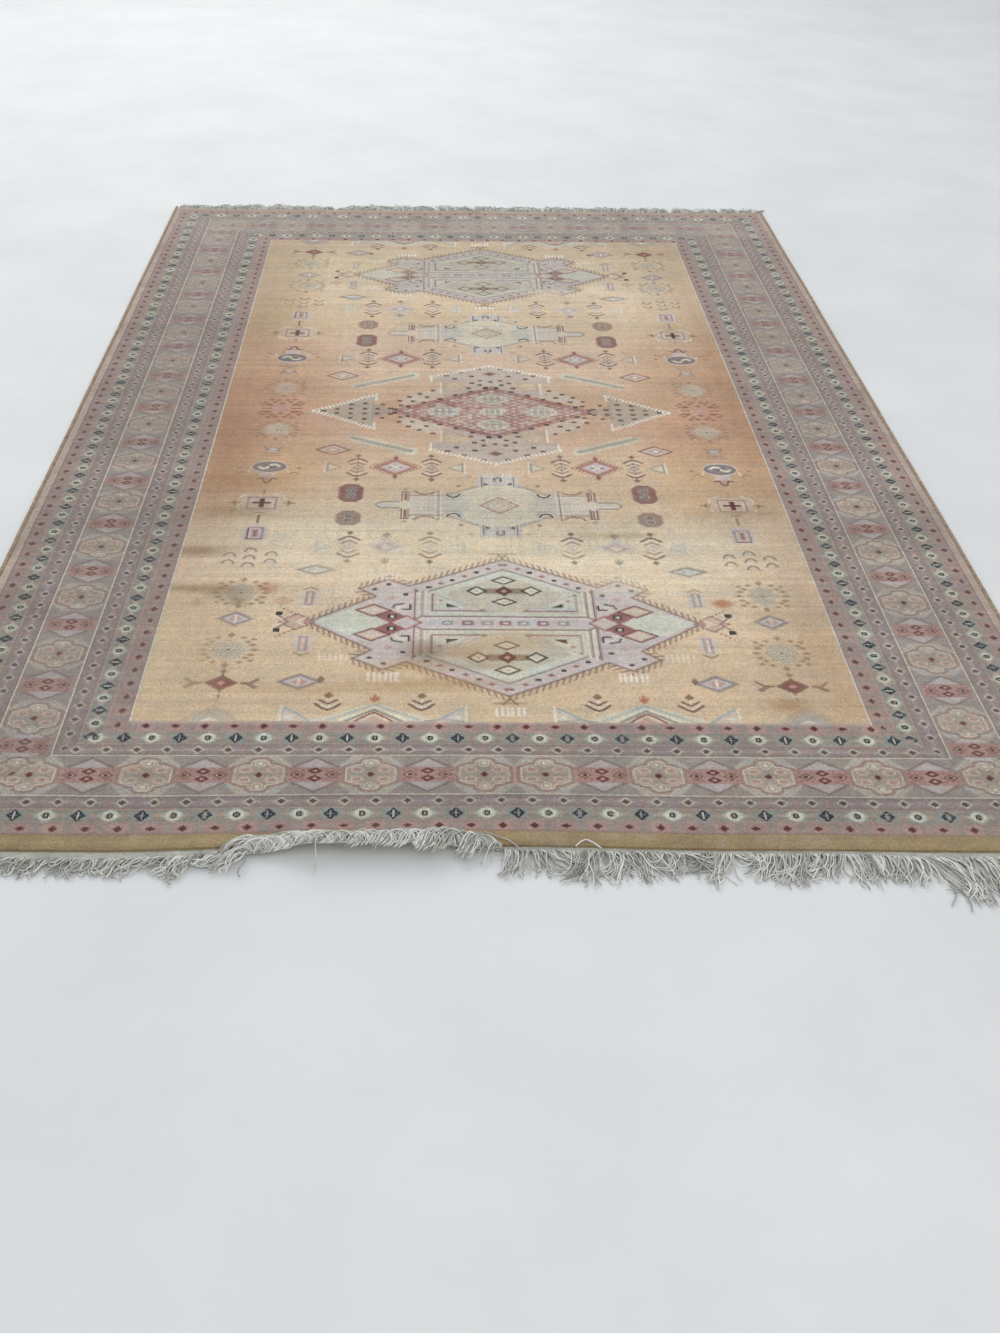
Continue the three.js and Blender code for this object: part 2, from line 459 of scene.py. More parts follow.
@dataclass(frozen=True)
class FieldDesign:
    """The middle of the rug: seven large motifs down it and small ones between them (mm)."""

    medallion_at: float = 822.0
    cross_at: float = 422.0
    column_at: float = 478.0

    def tie(self, chart: Chart) -> None:
        """Tie the whole field."""
        u = np.abs(chart.x - DESIGN_SHIFT)
        v = np.abs(chart.y)
        self.ground(chart)
        self.edge_row(chart, u, v)
        self.medallion(chart.motif(u, np.abs(v - self.medallion_at), 440, 250))
        self.ladders(chart, u, v)
        self.cross(chart.motif(u, np.abs(v - self.cross_at), 260, 150))
        self.lattice(chart.motif(u, self.from_middle(chart), 420, 265))
        self.small_motifs(chart, u, v)
        self.side_column(chart, u, v)
        self.stains_and_highlights(chart)

    def from_middle(self, chart: Chart) -> Array:
        """Distances along the rug from the middle medallion, which sits a little toward the front."""
        return np.abs(chart.y + 11.0) * 1.04

    def ground(self, chart: Chart) -> None:
        """Tie the gold ground, whose dye lots change along the rug, with painted highlights in the palest
        lots near the front and over the middle.
        """
        # The palest lots, round y -640 to -520, are partly dye and partly a painted highlight on the pile.
        stops = (-1100, -860, -640, -520, -380, -230, -60, 120, 300, 480, 700, 900, 1100)
        lots = (
            "#D9C1A1", "#DEC6A6", "#EFDBBF", "#EBDABE", "#D7B894", "#CEAC89", "#D2A88B",
            "#D3B090", "#D6B497", "#DAC2A2", "#E3CFB3", "#D7C4A7", "#D5BEA2",
        )
        table = np.array([linear(lot) for lot in lots])
        y = chart.y + 22 * np.sin(chart.x / 170.0) + 12 * np.sin(chart.x / 61.0 + 1.0)
        for i in range(3):
            chart.rgb[:, i] = np.interp(y, stops, table[:, i])
        toward_side = smooth((np.abs(chart.x) - 380.0) / 230.0)
        inner = 1.0 - smooth((np.abs(chart.x) - 300.0) / 120.0)
        band = np.exp(-(((np.abs(chart.y) - 260.0) / 210.0) ** 2))
        # Painted highlight: the middle of the field, round y ±260, tinted paler.
        chart.tint("#EDDFCB", 0.32 * band * inner)
        middle = np.exp(-((chart.y / 420.0) ** 2))
        chart.tint("#B5967A", 0.45 * toward_side)
        chart.tint("#BC8B6C", 0.4 * middle * toward_side)

    def stains_and_highlights(self, chart: Chart) -> None:
        """Darken the places where the pile is soiled and lighten others as painted highlights, wider across
        the rug than along it.
        """
        # Dark entries are soiling; the pale cream entries, #DCC8A6 and lighter, are painted highlights.
        spots = (
            (-565, -600, 60, 16, "#8F7350", 0.75), (-560, -722, 70, 12, "#9A7F58", 0.7),
            (-470, -762, 16, 14, "#86704C", 0.6), (-540, -768, 12, 10, "#8E7755", 0.6),
            (-520, -450, 90, 28, "#9A7A58", 0.55), (-500, -330, 110, 40, "#A67D5C", 0.5),
            (-420, -720, 22, 18, "#B97A55", 0.6), (408, -760, 18, 14, "#B5704A", 0.8),
            (-540, -200, 60, 160, "#A67A60", 0.35), (-60, -905, 60, 26, "#B98A55", 0.55),
            (30, -870, 90, 30, "#C39B62", 0.45), (-160, -945, 70, 22, "#BE9457", 0.4),
            (-130, -1000, 110, 14, "#B28C58", 0.4), (-300, -1010, 160, 10, "#B08D5E", 0.35),
            (470, -1045, 34, 16, "#AB7F52", 0.6), (520, -445, 90, 14, "#A58158", 0.5),
            (240, -532, 60, 10, "#B69662", 0.45), (190, 700, 60, 30, "#EBDDBD", 0.5),
            (560, -900, 40, 260, "#B2906A", 0.2), (-570, 560, 60, 190, "#9C8466", 0.45),
            (-570, -930, 70, 160, "#DCC8A6", 0.6), (-100, -985, 120, 12, "#A98558", 0.4),
            (-480, 120, 120, 60, "#B28468", 0.35), (-330, -230, 80, 60, "#A97F63", 0.35),
            (280, -690, 110, 40, "#EFE0BC", 0.5), (-280, -640, 130, 50, "#E6D7B4", 0.4),
            (120, -600, 200, 30, "#E9DCBB", 0.4), (-100, -560, 160, 40, "#E2D3AE", 0.4),
            (-575, -150, 40, 330, "#9F7558", 0.35), (575, 150, 34, 330, "#A67C5E", 0.25),
            (-130, -905, 46, 28, "#6F543C", 0.62), (-50, -945, 60, 15, "#8F7048", 0.4),
            (-500, -735, 50, 22, "#8A7250", 0.45), (-500, 600, 50, 200, "#B79C72", 0.35),
            (-330, 870, 160, 60, "#E4D2A6", 0.35),
        )
        for x, y, wide, long, code, share in spots:
            wobble = 0.35 * np.sin(chart.x / 19.0 + y) + 0.3 * np.sin(chart.y / 9.0 + x)
            reach = ((chart.x - x) / wide) ** 2 + ((chart.y - y) / long) ** 2
            chart.tint(code, share * np.exp(-reach * (1.0 + 0.4 * wobble)))

    def medallion(self, m: Motif) -> None:
        """Tie the large stepped medallion, hooked all round, with its cream heart."""
        outline = [(0, 203), (174, 112), (213, 134), (264, 104), (234, 80), (335, 10), (348, 0), (0, 0)]
        edge = outline[:-1]
        gap, place = along(edge, m.a, m.b)
        body = inside(outline, m.a, m.b)
        hook = ~body & (gap < 14) & (((place + 0.9 * gap) / 13.0) % 1.0 < 0.44)
        m.dye(hook, Wool.LINE, 0.68)
        m.dye(body, Wool.LAVENDER, 0.85)
        m.dye(gap < 2.4, Wool.LINE, 0.7)
        heart = [(0, 168), (138, 94), (138, 22), (0, 22)]
        m.shape(Wool.PALE_MINT, heart, 0.85)
        m.shape(Wool.SAND, [(0, 150), (110, 90), (60, 30), (0, 30)], 0.35)
        m.line(Wool.GREY, [(0, 169), (140, 95)], 4)
        for a in (50, 95, 138, 180):
            m.box(Wool.INK, 4.5, 3.5, (a, 187 - a * 0.56))
        for a in (4, 28, 72, 116, 160):
            m.diamond(Wool.RED, 7, 5, (a, 187 - a * 0.56), share=0.8)
        m.box(Wool.INK, 4.5, 3.5, (212, 118))
        m.box(Wool.INK, 4.5, 3.5, (236, 102))
        m.diamond(Wool.PINK, 9, 7, (206, 74), ring=3)
        m.diamond(Wool.PINK, 8, 6, (206, 74), share=0.4)
        # the cluster of four ringed diamonds in each half of the heart
        m.box(Wool.BROWN, 36, 9, (0, 99), share=0.8)
        m.diamond(Wool.DARK_RED, 17, 17, (0, 99), share=0.9)
        m.diamond(Wool.PINK, 6, 6, (0, 99))
        for at, wide, high in (((0, 65), 25, 14), ((0, 133), 25, 14), ((50, 99), 21, 16)):
            m.diamond(Wool.INK, wide, high, at)
            m.diamond(Wool.CREAM, wide - 7.5, high - 4.8, at)
            m.diamond(Wool.GREY, 5, 3, at, share=0.5)
        # corner triangle, bars and the long middle bar
        m.line(Wool.ROSE, [(34, 36), (131, 88), (131, 36), (34, 36)], 4)
        m.line(Wool.LAVENDER, [(44, 41), (125, 84), (125, 41), (44, 41)], 4)
        m.shape(Wool.INK, [(82, 47), (106, 60), (106, 47)])
        m.diamond(Wool.PINK, 6, 5, (116, 68))
        for a, wool in ((143, Wool.CREAM), (149, Wool.GREY), (155, Wool.CREAM), (162, Wool.ROSE)):
            m.line(wool, [(a, 14), (a, 96 if a < 150 else 104)], 4)
        m.box(Wool.LAVENDER, 150, 19)
        m.line(Wool.ROSE, [(0, 19), (150, 19), (163, 8)], 4)
        m.line(Wool.PALE_MINT, [(0, 14), (146, 14)], 3)
        for a in (0, 32, 67, 103):
            wool = Wool.RED if a in (0, 67) else Wool.GREY
            m.box(wool, 10, 7, (a, 0), share=0.85)
            m.box(Wool.PALE_MINT, 5, 3, (a, 0))
        # the outer points
        m.shape(Wool.PALE_MINT, [(214, 0), (236, 24), (262, 40), (288, 32), (335, 0)], 0.9)
        m.line(Wool.INK, [(170, 54), (170, 40), (184, 40)], 4)
        m.line(Wool.CREAM, [(176, 52), (190, 47), (194, 36)], 4)
        m.line(Wool.INK, [(182, 58), (198, 54), (202, 44)], 3.5)
        m.line(Wool.RED, [(150, 0), (178, 22)], 4, share=0.8)
        m.diamond(Wool.PINK, 27, 22, (178, 0), ring=4)
        m.diamond(Wool.RED, 28, 19, (204, 18), share=0.85)
        m.diamond(Wool.PINK, 34, 19, (236, 36))
        m.diamond(Wool.CREAM, 24, 13, (236, 36), share=0.7)
        m.diamond(Wool.DARK_RED, 35, 20, (236, 36), ring=3)
        m.box(Wool.INK, 8, 6.5, (202, 18))
        m.box(Wool.CREAM, 3.2, 3, (202, 18))
        m.diamond(Wool.PINK, 34, 26, (370, 0), share=0.5)
        m.diamond(Wool.ROSE, 34, 26, (370, 0), ring=4)
        m.line(Wool.CREAM, [(355, 11), (370, 0), (355, -11)], 3)
        m.diamond(Wool.CREAM, 9, 6, (366, 0), ring=3)
        m.line(Wool.ROSE, [(385, 0), (406, 22)], 4)
        m.line(Wool.CREAM, [(396, 6), (414, 20)], 4, dash=7)
        m.line(Wool.ROSE, [(372, 22), (402, 44)], 4, dash=9)
        m.box(Wool.INK, 6, 5.5, (403, 25))
        m.line(Wool.BROWN, [(0, 210), (12, 225)], 4)
        m.line(Wool.BROWN, [(0, 222), (26, 222)], 3.5)
        far = inside(outline, m.a, m.b) & (m.chart.y[m.knots] > 0)
        speck = np.sin(m.a * 0.43) * np.sin(m.b * 0.52 + 0.6)
        m.dye(far, Wool.GREY, 0.22)
        m.dye(far & (speck > 0.45), Wool.LINE, 0.3)
        m.dye(far & (speck < -0.5), Wool.CREAM, 0.3)

    def ladders(self, chart: Chart, u: Array, v: Array) -> None:
        """Tie the white combs above and below the large medallions."""
        combs = ((0, 1066), (0, 588), (213, 975), (300, 921), (303, 724), (222, 678))
        for a, b in combs:
            m = chart.motif(u - a, v - b, 34, 14)
            share = 1.0 if b in (1066, 975, 588) else 0.5
            bars = (np.abs(m.a) < 27) & (np.abs(m.b) < 11.5) & (((m.a + 27.0) / 9.4) % 1.0 < 0.5)
            m.dye(bars, Wool.WHITE, share)

    def cross(self, m: Motif) -> None:
        """Tie the pale cross medallion with its blue hooks and its barred arms."""
        arm = [(0, 62), (84, 62), (96, 40), (182, 40), (182, 0), (0, 0)]
        m.shape(Wool.CREAM, [(0, 118), (36, 118), (38, 74), (84, 46)] + arm[2:], 0.45)
        m.shape(Wool.PALE_MINT, [(0, 78), (40, 70), (112, 26), (150, 20), (150, 0), (0, 0)], 0.35)
        m.shape(Wool.SKY, [(60, 22), (110, 24), (150, 18), (150, 0), (60, 0)], 0.3)
        speck = np.sin(m.a * 0.71) * np.sin(m.b * 0.83 + 0.4)
        core = m.a / 130 + m.b / 92 < 1.0
        m.dye(core & (speck > 0.3), Wool.PALE_MINT, 0.6)
        m.dye(core & (speck < -0.5), Wool.PINK, 0.4)
        m.box(Wool.SKY, 38, 22, (0, 102), share=0.4)
        m.box(Wool.LAVENDER, 30, 18, (0, 98), share=0.6)
        m.line(Wool.LAVENDER, [(39, 72), (39, 120)], 4.5)
        m.line(Wool.NAVY, [(33, 74), (33, 112)], 3.2, share=0.45)
        for a in (-28, -20, -12, 12, 20, 28):
            m.line(Wool.CREAM, [(a, 116), (a, 128)], 3.2, share=0.8)
        m.line(Wool.INK, [(-6, 96), (-7, 108), (0, 112), (7, 108), (6, 96)], 3.6, share=0.9)
        m.shape(Wool.NAVY, [(18, 84), (28, 92), (30, 78)], 0.8)
        m.line(Wool.SKY, [(40, 74), (84, 46), (100, 40)], 4.2, share=0.8)
        m.line(Wool.MAUVE, [(42, 79), (86, 51), (102, 46)], 3.0, share=0.7)
        m.line(Wool.CREAM, [(48, 66), (76, 52), (96, 36)], 3.2, share=0.6)
        m.line(Wool.NAVY, [(80, 44), (84, 35), (93, 31), (102, 35), (106, 43)], 4.6, share=0.9)
        m.line(Wool.SKY, [(72, 40), (80, 26), (98, 22), (112, 32)], 3)
        m.line(Wool.RED, [(0, 31), (38, 0)], 3.4, share=0.7)
        m.line(Wool.PINK, [(0, 22), (27, 0)], 3.4, share=0.7)
        m.line(Wool.RED, [(0, 12), (14, 0)], 3.0, dash=6, share=0.5)
        m.line(Wool.PINK, [(14, 22), (26, 30), (34, 22), (24, 14)], 3.0, dash=7, share=0.6)
        m.box(Wool.LAVENDER, 40, 34, (140, 0), share=0.35)
        for a in range(112, 178, 9):
            m.line(Wool.CREAM, [(a, 0), (a, 36)], 2.8, dash=11, share=0.6)
        m.line(Wool.MAUVE, [(112, 38), (182, 38)], 3.4)
        m.line(Wool.LINE, [(126, 56), (136, 46), (150, 43), (164, 46), (172, 56)], 4, share=0.8)
        for a, wool in ((113, Wool.LAVENDER), (118, Wool.CREAM), (123, Wool.MAUVE), (128, Wool.CREAM)):
            m.line(wool, [(a, 0), (a, 56)], 3.0, share=0.8)
        m.box(Wool.CREAM, 8, 58, (190, 0), share=0.55)
        m.line(Wool.LINE, [(184, 16), (184, 52), (197, 52), (197, 16)], 3.8, share=0.8)
        m.line(Wool.RED, [(190, 20), (190, 46)], 4.6, share=0.75)
        m.line(Wool.LAVENDER, [(204, 14), (204, 46)], 3.6)
        m.diamond(Wool.BROWN, 7, 5, (190, 62), share=0.5)
        m.box(Wool.PALE_MINT, 26, 12, (222, 0), share=0.5)
        m.line(Wool.MAUVE, [(202, 12), (238, 12), (248, 5), (248, 0)], 3.6)
        m.line(Wool.LAVENDER, [(208, 0), (238, 0)], 5)

    def lattice(self, m: Motif) -> None:
        """Tie the middle medallion: a rose lattice between pale caps and side points."""
        cap = [(0, 250), (138, 190), (138, 156), (116, 150), (116, 88), (0, 88)]
        m.shape(Wool.LAVENDER, cap, 0.45)
        m.shape(Wool.GREY, cap, 0.2)
        m.shape(Wool.GOLD, [(52, 130), (80, 160), (112, 152), (114, 112), (84, 104)], 0.5)
        m.shape(Wool.CREAM, [(62, 132), (84, 154), (106, 146), (108, 118), (86, 112)], 0.25)
        point = [(268, 88), (406, 0), (268, 0)]
        m.shape(Wool.GREY, point, 0.5)
        m.shape(Wool.PALE_MINT, point, 0.15)
        m.shape(Wool.GREY, [(222, 0), (275, 40), (275, 0)], 0.5)
        flank = [(118, 114), (148, 108), (186, 86), (206, 56), (212, 26), (110, 70)]
        m.shape(Wool.LAVENDER, flank, 0.35)
        m.shape(Wool.PALE_MINT, flank, 0.2)
        for a, b in ((26, 232), (68, 212), (104, 194), (44, 190), (84, 176), (24, 166), (44, 152), (0, 160),
                     (26, 142), (12, 128), (52, 124), (136, 110), (166, 92), (190, 76), (212, 54),
                     (150, 74), (182, 52), (208, 30), (232, 14), (290, 12), (322, 12), (352, 10),
                     (290, 40), (322, 34), (296, 64), (262, 12), (384, 4), (250, 34)):
            m.box(Wool.INK, 5.4, 4.6, (a, b), share=0.85)
        m.diamond(Wool.ROSE, 19, 13, (0, 204), share=0.8)
        m.diamond(Wool.DARK_RED, 12, 8, (0, 204), share=0.6)
        m.comb(Wool.WHITE, [(0, 250), (140, 188)], 6.5, 9.4)
        m.line(Wool.WHITE, [(139, 192), (139, 158)], 4.5)
        m.line(Wool.WHITE, [(117, 150), (117, 92)], 4.0)
        m.comb(Wool.WHITE, [(404, 0), (268, 86)], 6.5, 9.4)
        m.line(Wool.WHITE, [(267, 92), (267, 58)], 4.5)
        size = m.a / 240 + m.b / 132
        body = size < 1
        m.dye(body, Wool.LAVENDER, 0.5)
        m.dye(body, Wool.PINK, 0.55)
        x, y = m.chart.x[m.knots], m.chart.y[m.knots]
        blush, pale = patchwork(x, y, 30.0, SEED + 21), patchwork(x, y, 9.0, SEED + 22)
        fall, rise = (m.a + 1.82 * m.b) / 30.0, (m.a - 1.82 * m.b) / 30.0
        m.dye(body & (blush > 0.35), Wool.RED, 0.25)
        m.dye(body & (blush < -0.45), Wool.SAND, 0.4)
        m.dye(body & ((fall % 1.0 < 0.28) | (rise % 1.0 < 0.28)), Wool.RED, 0.46)
        m.dye(body & (pale > 0.45), Wool.PALE_MINT, 0.4)
        m.dye(body & (pale < -0.6), Wool.DARK_RED, 0.3)
        cell = np.abs(fall % 1.0 - 0.64) + np.abs(rise % 1.0 - 0.64)
        m.dye(body & (cell < 0.16), Wool.CREAM, 0.75)
        m.dye(body & (size > 0.86), Wool.RED, 0.4)
        for a in (12, 48, 84, 120, 156, 192, 222):
            m.box(Wool.INK, 5.4, 4.8, (a, (1 - a / 240) * 132 - 1), share=0.9)
        for at in ((112, 0), (0, 66), (0, 0)):
            wide, high = (46, 33) if at != (0, 0) else (38, 24)
            m.oval(Wool.PALE_MINT, wide * 0.8, high * 0.8, at, share=0.55)
            m.oval(Wool.GREY, wide * 0.62, high * 0.62, at, share=0.45)
            for a in (-0.5, -0.17, 0.17, 0.5):
                m.box(Wool.CREAM, 2.4, 6, (at[0] + a * wide, at[1] + high * 0.3), share=0.7)
                m.box(Wool.CREAM, 2.4, 4, (at[0] + a * wide, at[1] - high * 0.32), share=0.5)
            for a in (-0.33, 0.0, 0.33):
                m.diamond(Wool.ROSE, 5, 5, (at[0] + a * wide, at[1]), share=0.6)

    def edge_row(self, chart: Chart, u: Array, v: Array) -> None:
        """Tie the row of half medallions, flags and small trees along each end of the field."""
        m = chart.motif(u - 222, v - 1092, 150, 80)
        m.shape(Wool.PALE_MINT, [(-112, 0), (0, -48), (112, 0)], 0.5)
        m.line(Wool.SKY, [(-72, -4), (-42, -20), (0, -44), (42, -20), (72, -4)], 6, share=0.4)
        m.line(Wool.CREAM, [(-52, -4), (-30, -18), (0, -36), (30, -18), (52, -4)], 4)
        m.line(Wool.GREY, [(-46, 0), (0, -30), (46, 0)], 5)
        m.line(Wool.RED, [(-30, 0), (-16, -12), (0, -23), (16, -12), (30, 0)], 4)
        m.shape(Wool.PINK, [(-20, 2), (0, -16), (20, 2)], 0.8)
        m.line(Wool.MINT, [(-146, 0), (-112, -6), (-84, 0)], 4)
        for at, side in ((75, 1), (370, -1)):
            m = chart.motif((u - at) * side, v - 1092, 60, 60)
            m.line(Wool.CREAM, [(-3, -40), (-3, 0)], 4)
            m.shape(Wool.LAVENDER, [(2, -34), (2, -2), (44, 0)], 0.5)
            m.line(Wool.SKY, [(3, -34), (20, -22), (44, -2)], 5, share=0.8)
            m.diamond(Wool.PALE_MINT, 8, 6, (12, -10), share=0.8)
        m = chart.motif(u - 484, v - 1092, 80, 60)
        m.shape(Wool.GREY, [(-46, 0), (-30, -22), (0, -40), (30, -22), (46, 0)], 0.35)
        m.shape(Wool.SKY, [(-34, 0), (0, -30), (34, 0)], 0.3)
        m.shape(Wool.CREAM, [(-16, 0), (0, -10), (16, 0)], 0.7)
        self.tree(chart.motif(u - 145, v - 1038, 40, 40))
        self.tree(chart.motif(u - 298, v - 1038, 40, 40))
        self.bud(chart.motif(u - 222, v - 1034, 16, 18), Wool.ORANGE)

    def tree(self, m: Motif) -> None:
        """Tie a small tree: a bud over two wide chevrons."""
        m.diamond(Wool.BROWN, 8.5, 9.5, (0, -12))
        m.line(Wool.CREAM, [(0, -4), (0, 22)], 3)
        m.line(Wool.LINE, [(-14, 0), (0, 10), (14, 0)], 4.6)
        m.line(Wool.LINE, [(-20, 10), (-8, 21), (0, 25), (8, 21), (20, 10)], 5)
        m.line(Wool.CREAM, [(-16, 6), (-7, 15), (0, 19), (7, 15), (16, 6)], 3, share=0.8)

    def bud(self, m: Motif, wool: Wool) -> None:
        """Tie a small bud with two leaves."""
        m.diamond(wool, 9, 8, (0, 2), share=0.85)
        m.box(wool, 3, 8, (0, -4), share=0.85)
        for side in (-1, 1):
            m.line(wool, [(side * 8, -6), (side * 4, 0)], 3, share=0.8)

    def double_tree(self, m: Motif, heart: Wool) -> None:
        """Tie a pair of trees end to end with a pale heart, given with b already mirrored."""
        m.diamond(Wool.BROWN, 7.5, 8, (0, 50))
        m.line(heart, [(0, 0), (0, 42)], 3, share=0.7)
        m.line(Wool.LINE, [(-20, 24), (-8, 34), (0, 37), (8, 34), (20, 24)], 5.4, share=0.9)
        m.line(Wool.CREAM, [(-14, 22), (0, 30), (14, 22)], 3, share=0.9)
        m.line(Wool.LINE, [(-14, 12), (0, 22), (14, 12)], 4.2, share=0.6)
        m.diamond(heart, 13, 11, (0, 0), ring=4.5)

    def flag(self, m: Motif, wool: Wool) -> None:
        """Tie a small pennant beside an upright line."""
        m.line(Wool.CREAM, [(0, -22), (0, 22)], 3.5)
        m.line(wool, [(5, -18), (5, 18)], 4, share=0.8)
        m.shape(Wool.PALE_MINT, [(8, -15), (8, 15), (34, 0)], 0.5)
        m.line(wool, [(8, -16), (34, 0), (8, 16)], 3.2, share=0.8)

    def lozenge(
        self, m: Motif, edge: Wool, fill: Wool, heart: Wool, half_a: float, half_b: float
    ) -> None:
        """Tie an upright-spined diamond with an edge, a fill and a heart."""
        m.diamond(edge, half_a + 5, half_b + 4, share=0.35)
        m.diamond(edge, half_a, half_b, share=0.9)
        m.diamond(fill, half_a * 0.72, half_b * 0.72, share=0.85)
        m.diamond(heart, half_a * 0.4, half_b * 0.5, share=0.9)
        m.box(Wool.CREAM, 1.8, half_b * 0.5)

    def star(self, m: Motif, heart: Wool, tip: Wool) -> None:
        """Tie an eight-pointed star in speckled wool, given with a and b already mirrored."""
        body = (m.a / 32 + m.b / 34 < 1.0) | ((m.a < 22) & (m.b < 22))
        speck = np.sin(m.a * 0.78) * np.sin(m.b * 0.82 + 0.6)
        m.dye(body, heart, 0.3)
        m.dye(body & (speck > 0.3), Wool.GREY, 0.8)
        m.dye(body & (speck < -0.3), Wool.CREAM, 0.7)
        for at in ((0, 42), (44, 0), (40, 14), (40, 30), (22, 34), (31, 22)):
            m.diamond(tip, 9 if at[1] < 20 else 7, 4.5 if at[0] else 8, at, share=0.7)
        m.diamond(Wool.INK, 3.5, 3.5, (0, 0), share=0.6)

    def octagon(self, m: Motif, tall: float, share: float) -> None:
        """Tie a rose octagon with its pale eyes.

        Args:
            m: the knots round it.
            tall: half its height.
            share: how deep its colour is.
        """
        scallop = 2.4 * (((m.b + 100.0) / 9.0) % 1.0 < 0.5)
        a, b = np.abs(m.a), np.abs(m.b)
        body = (a + scallop < 26.5) & (b < tall) & (a + b < tall + 12)
        m.dye(body, Wool.ROSE, share)
        m.dye(body, Wool.RED, 0.4 * share)
        m.dye(body & ((b / 8.5) % 1.0 < 0.35), Wool.DARK_RED, 0.45 * share)
        m.dye((a < 13) & (b < tall - 9), Wool.GREY, 0.35)
        for eye in (-0.3 * tall, 0.3 * tall):
            m.oval(Wool.CREAM, 9, 8, (0, eye), share=0.5)
            m.oval(Wool.INK, 6.5, 6, (0, eye), share=0.85)
            m.oval(Wool.CREAM, 2.4, 2.4, (0, eye), share=0.7)

    def burst(self, m: Motif) -> None:
        """Tie a red serrated diamond with a grey heart, given with a and b already mirrored."""
        size = m.a / 52 + m.b / 38
        tooth = 0.24 * (((m.a - m.b) / 12.0) % 1.0 < 0.5)
        m.dye(size < 0.9 + tooth, Wool.RED, 0.72)
        m.dye(size < 0.72, Wool.PINK, 0.6)
        m.dye(size < 0.62, Wool.LAVENDER, 0.8)
        m.line(Wool.CREAM, [(0, 0), (9, 8)], 3.4)
        m.box(Wool.INK, 3, 3, (11, 0), share=0.7)
        m.diamond(Wool.RED, 6, 12, (0, 40), share=0.85)

    def small_motifs(self, chart: Chart, u: Array, v: Array) -> None:
        """Tie the motifs strewn between the medallions."""
        self.lozenge(chart.motif(u - 350, v - 990, 50, 40), Wool.MAUVE, Wool.LAVENDER, Wool.PINK, 38, 21)
        m = chart.motif(u - 350, v - 658, 50, 30)
        self.lozenge(m, Wool.MAUVE, Wool.PALE_MINT, Wool.LAVENDER, 38, 16)
        self.lozenge(chart.motif(u - 223, v - 578, 50, 40), Wool.LAVENDER, Wool.PINK, Wool.CREAM, 33, 22)
        m = chart.motif(u - 223, v - 570, 60, 50)
        m.shape(Wool.LAVENDER, [(-44, 8), (0, -30), (44, 8)], 0.35)
        self.bud(chart.motif(u - 223, v - 627, 16, 18), Wool.GREY)
        self.bud(chart.motif(u - 223, -(v - 535), 16, 18), Wool.GREY)
        m = chart.motif(u - 314, v - 984, 12, 14)
        m.diamond(Wool.INK, 7, 10, share=0.7)
        m = chart.motif(u - 400, v - 760, 30, 26)
        m.diamond(Wool.ORANGE, 20, 16, share=0.35)
        for b, flip in ((750, 1), (885, -1)):
            m = chart.motif(np.abs(u - 353), (v - b) * flip, 30, 50)
            m.shape(Wool.LAVENDER, [(0, -28), (16, -14), (14, 22), (22, 24), (0, 24), (0, -28)], 0.7)
            m.box(Wool.MAUVE, 9, 22, share=0.55)
            m.box(Wool.PINK, 5, 20, (0, 0), share=0.75)
            m.box(Wool.CREAM, 1.8, 18, (0, 0))
            m.line(Wool.BROWN, [(0, -34), (13, -26)], 3.5, share=0.7)
        for b in (578, 270):
            for at, side in ((68, -1), (362, 1)):
                wool = Wool.LAVENDER if b == 578 else Wool.GREY
                self.flag(chart.motif((at - u) * side, v - b, 40, 26), wool)
            for at in (138, 294):
                heart = Wool.LAVENDER if b == 578 else Wool.GREY
                self.double_tree(chart.motif(u - at, np.abs(v - b), 34, 62), heart)
        self.burst(chart.motif(np.abs(u - 214), np.abs(v - 268), 64, 56))
        self.octagon(chart.motif(u - 302, v - 376, 34, 44), 36, 0.95)
        self.octagon(chart.motif(u - 302, v - 474, 34, 36), 27, 0.6)
        middle = self.from_middle(chart)
        m = chart.motif(u - 350, middle - 190, 46, 30)
        m.diamond(Wool.LAVENDER, 38, 24, share=0.5)
        m.diamond(Wool.LINE, 40, 26, ring=4.8)
        m.diamond(Wool.RED, 40, 26, ring=4.8, share=0.4)
        m.diamond(Wool.LINE, 18, 11, ring=3.5, share=0.5)
        m.diamond(Wool.CREAM, 8, 6)
        run = chart.motif(u, middle, 345, 215)
        bar = [(184, 194), (312, 132)]
        run.line(Wool.PALE_MINT, bar, 34, dash=9, share=0.45)
        run.line(Wool.PALE_MINT, bar, 22, share=0.3)
        run.line(Wool.GREY, bar, 14, share=0.35)
        run.line(Wool.MOSS, bar, 8, dash=8, share=0.15)
        for a, b in ((60, 306), (56, 530), (82, 345), (78, 497)):
            m = chart.motif(u - a, v - b, 16, 14)
            m.diamond(Wool.PINK if a < 70 else Wool.INK, 9 if a < 70 else 6, 6, share=0.6)

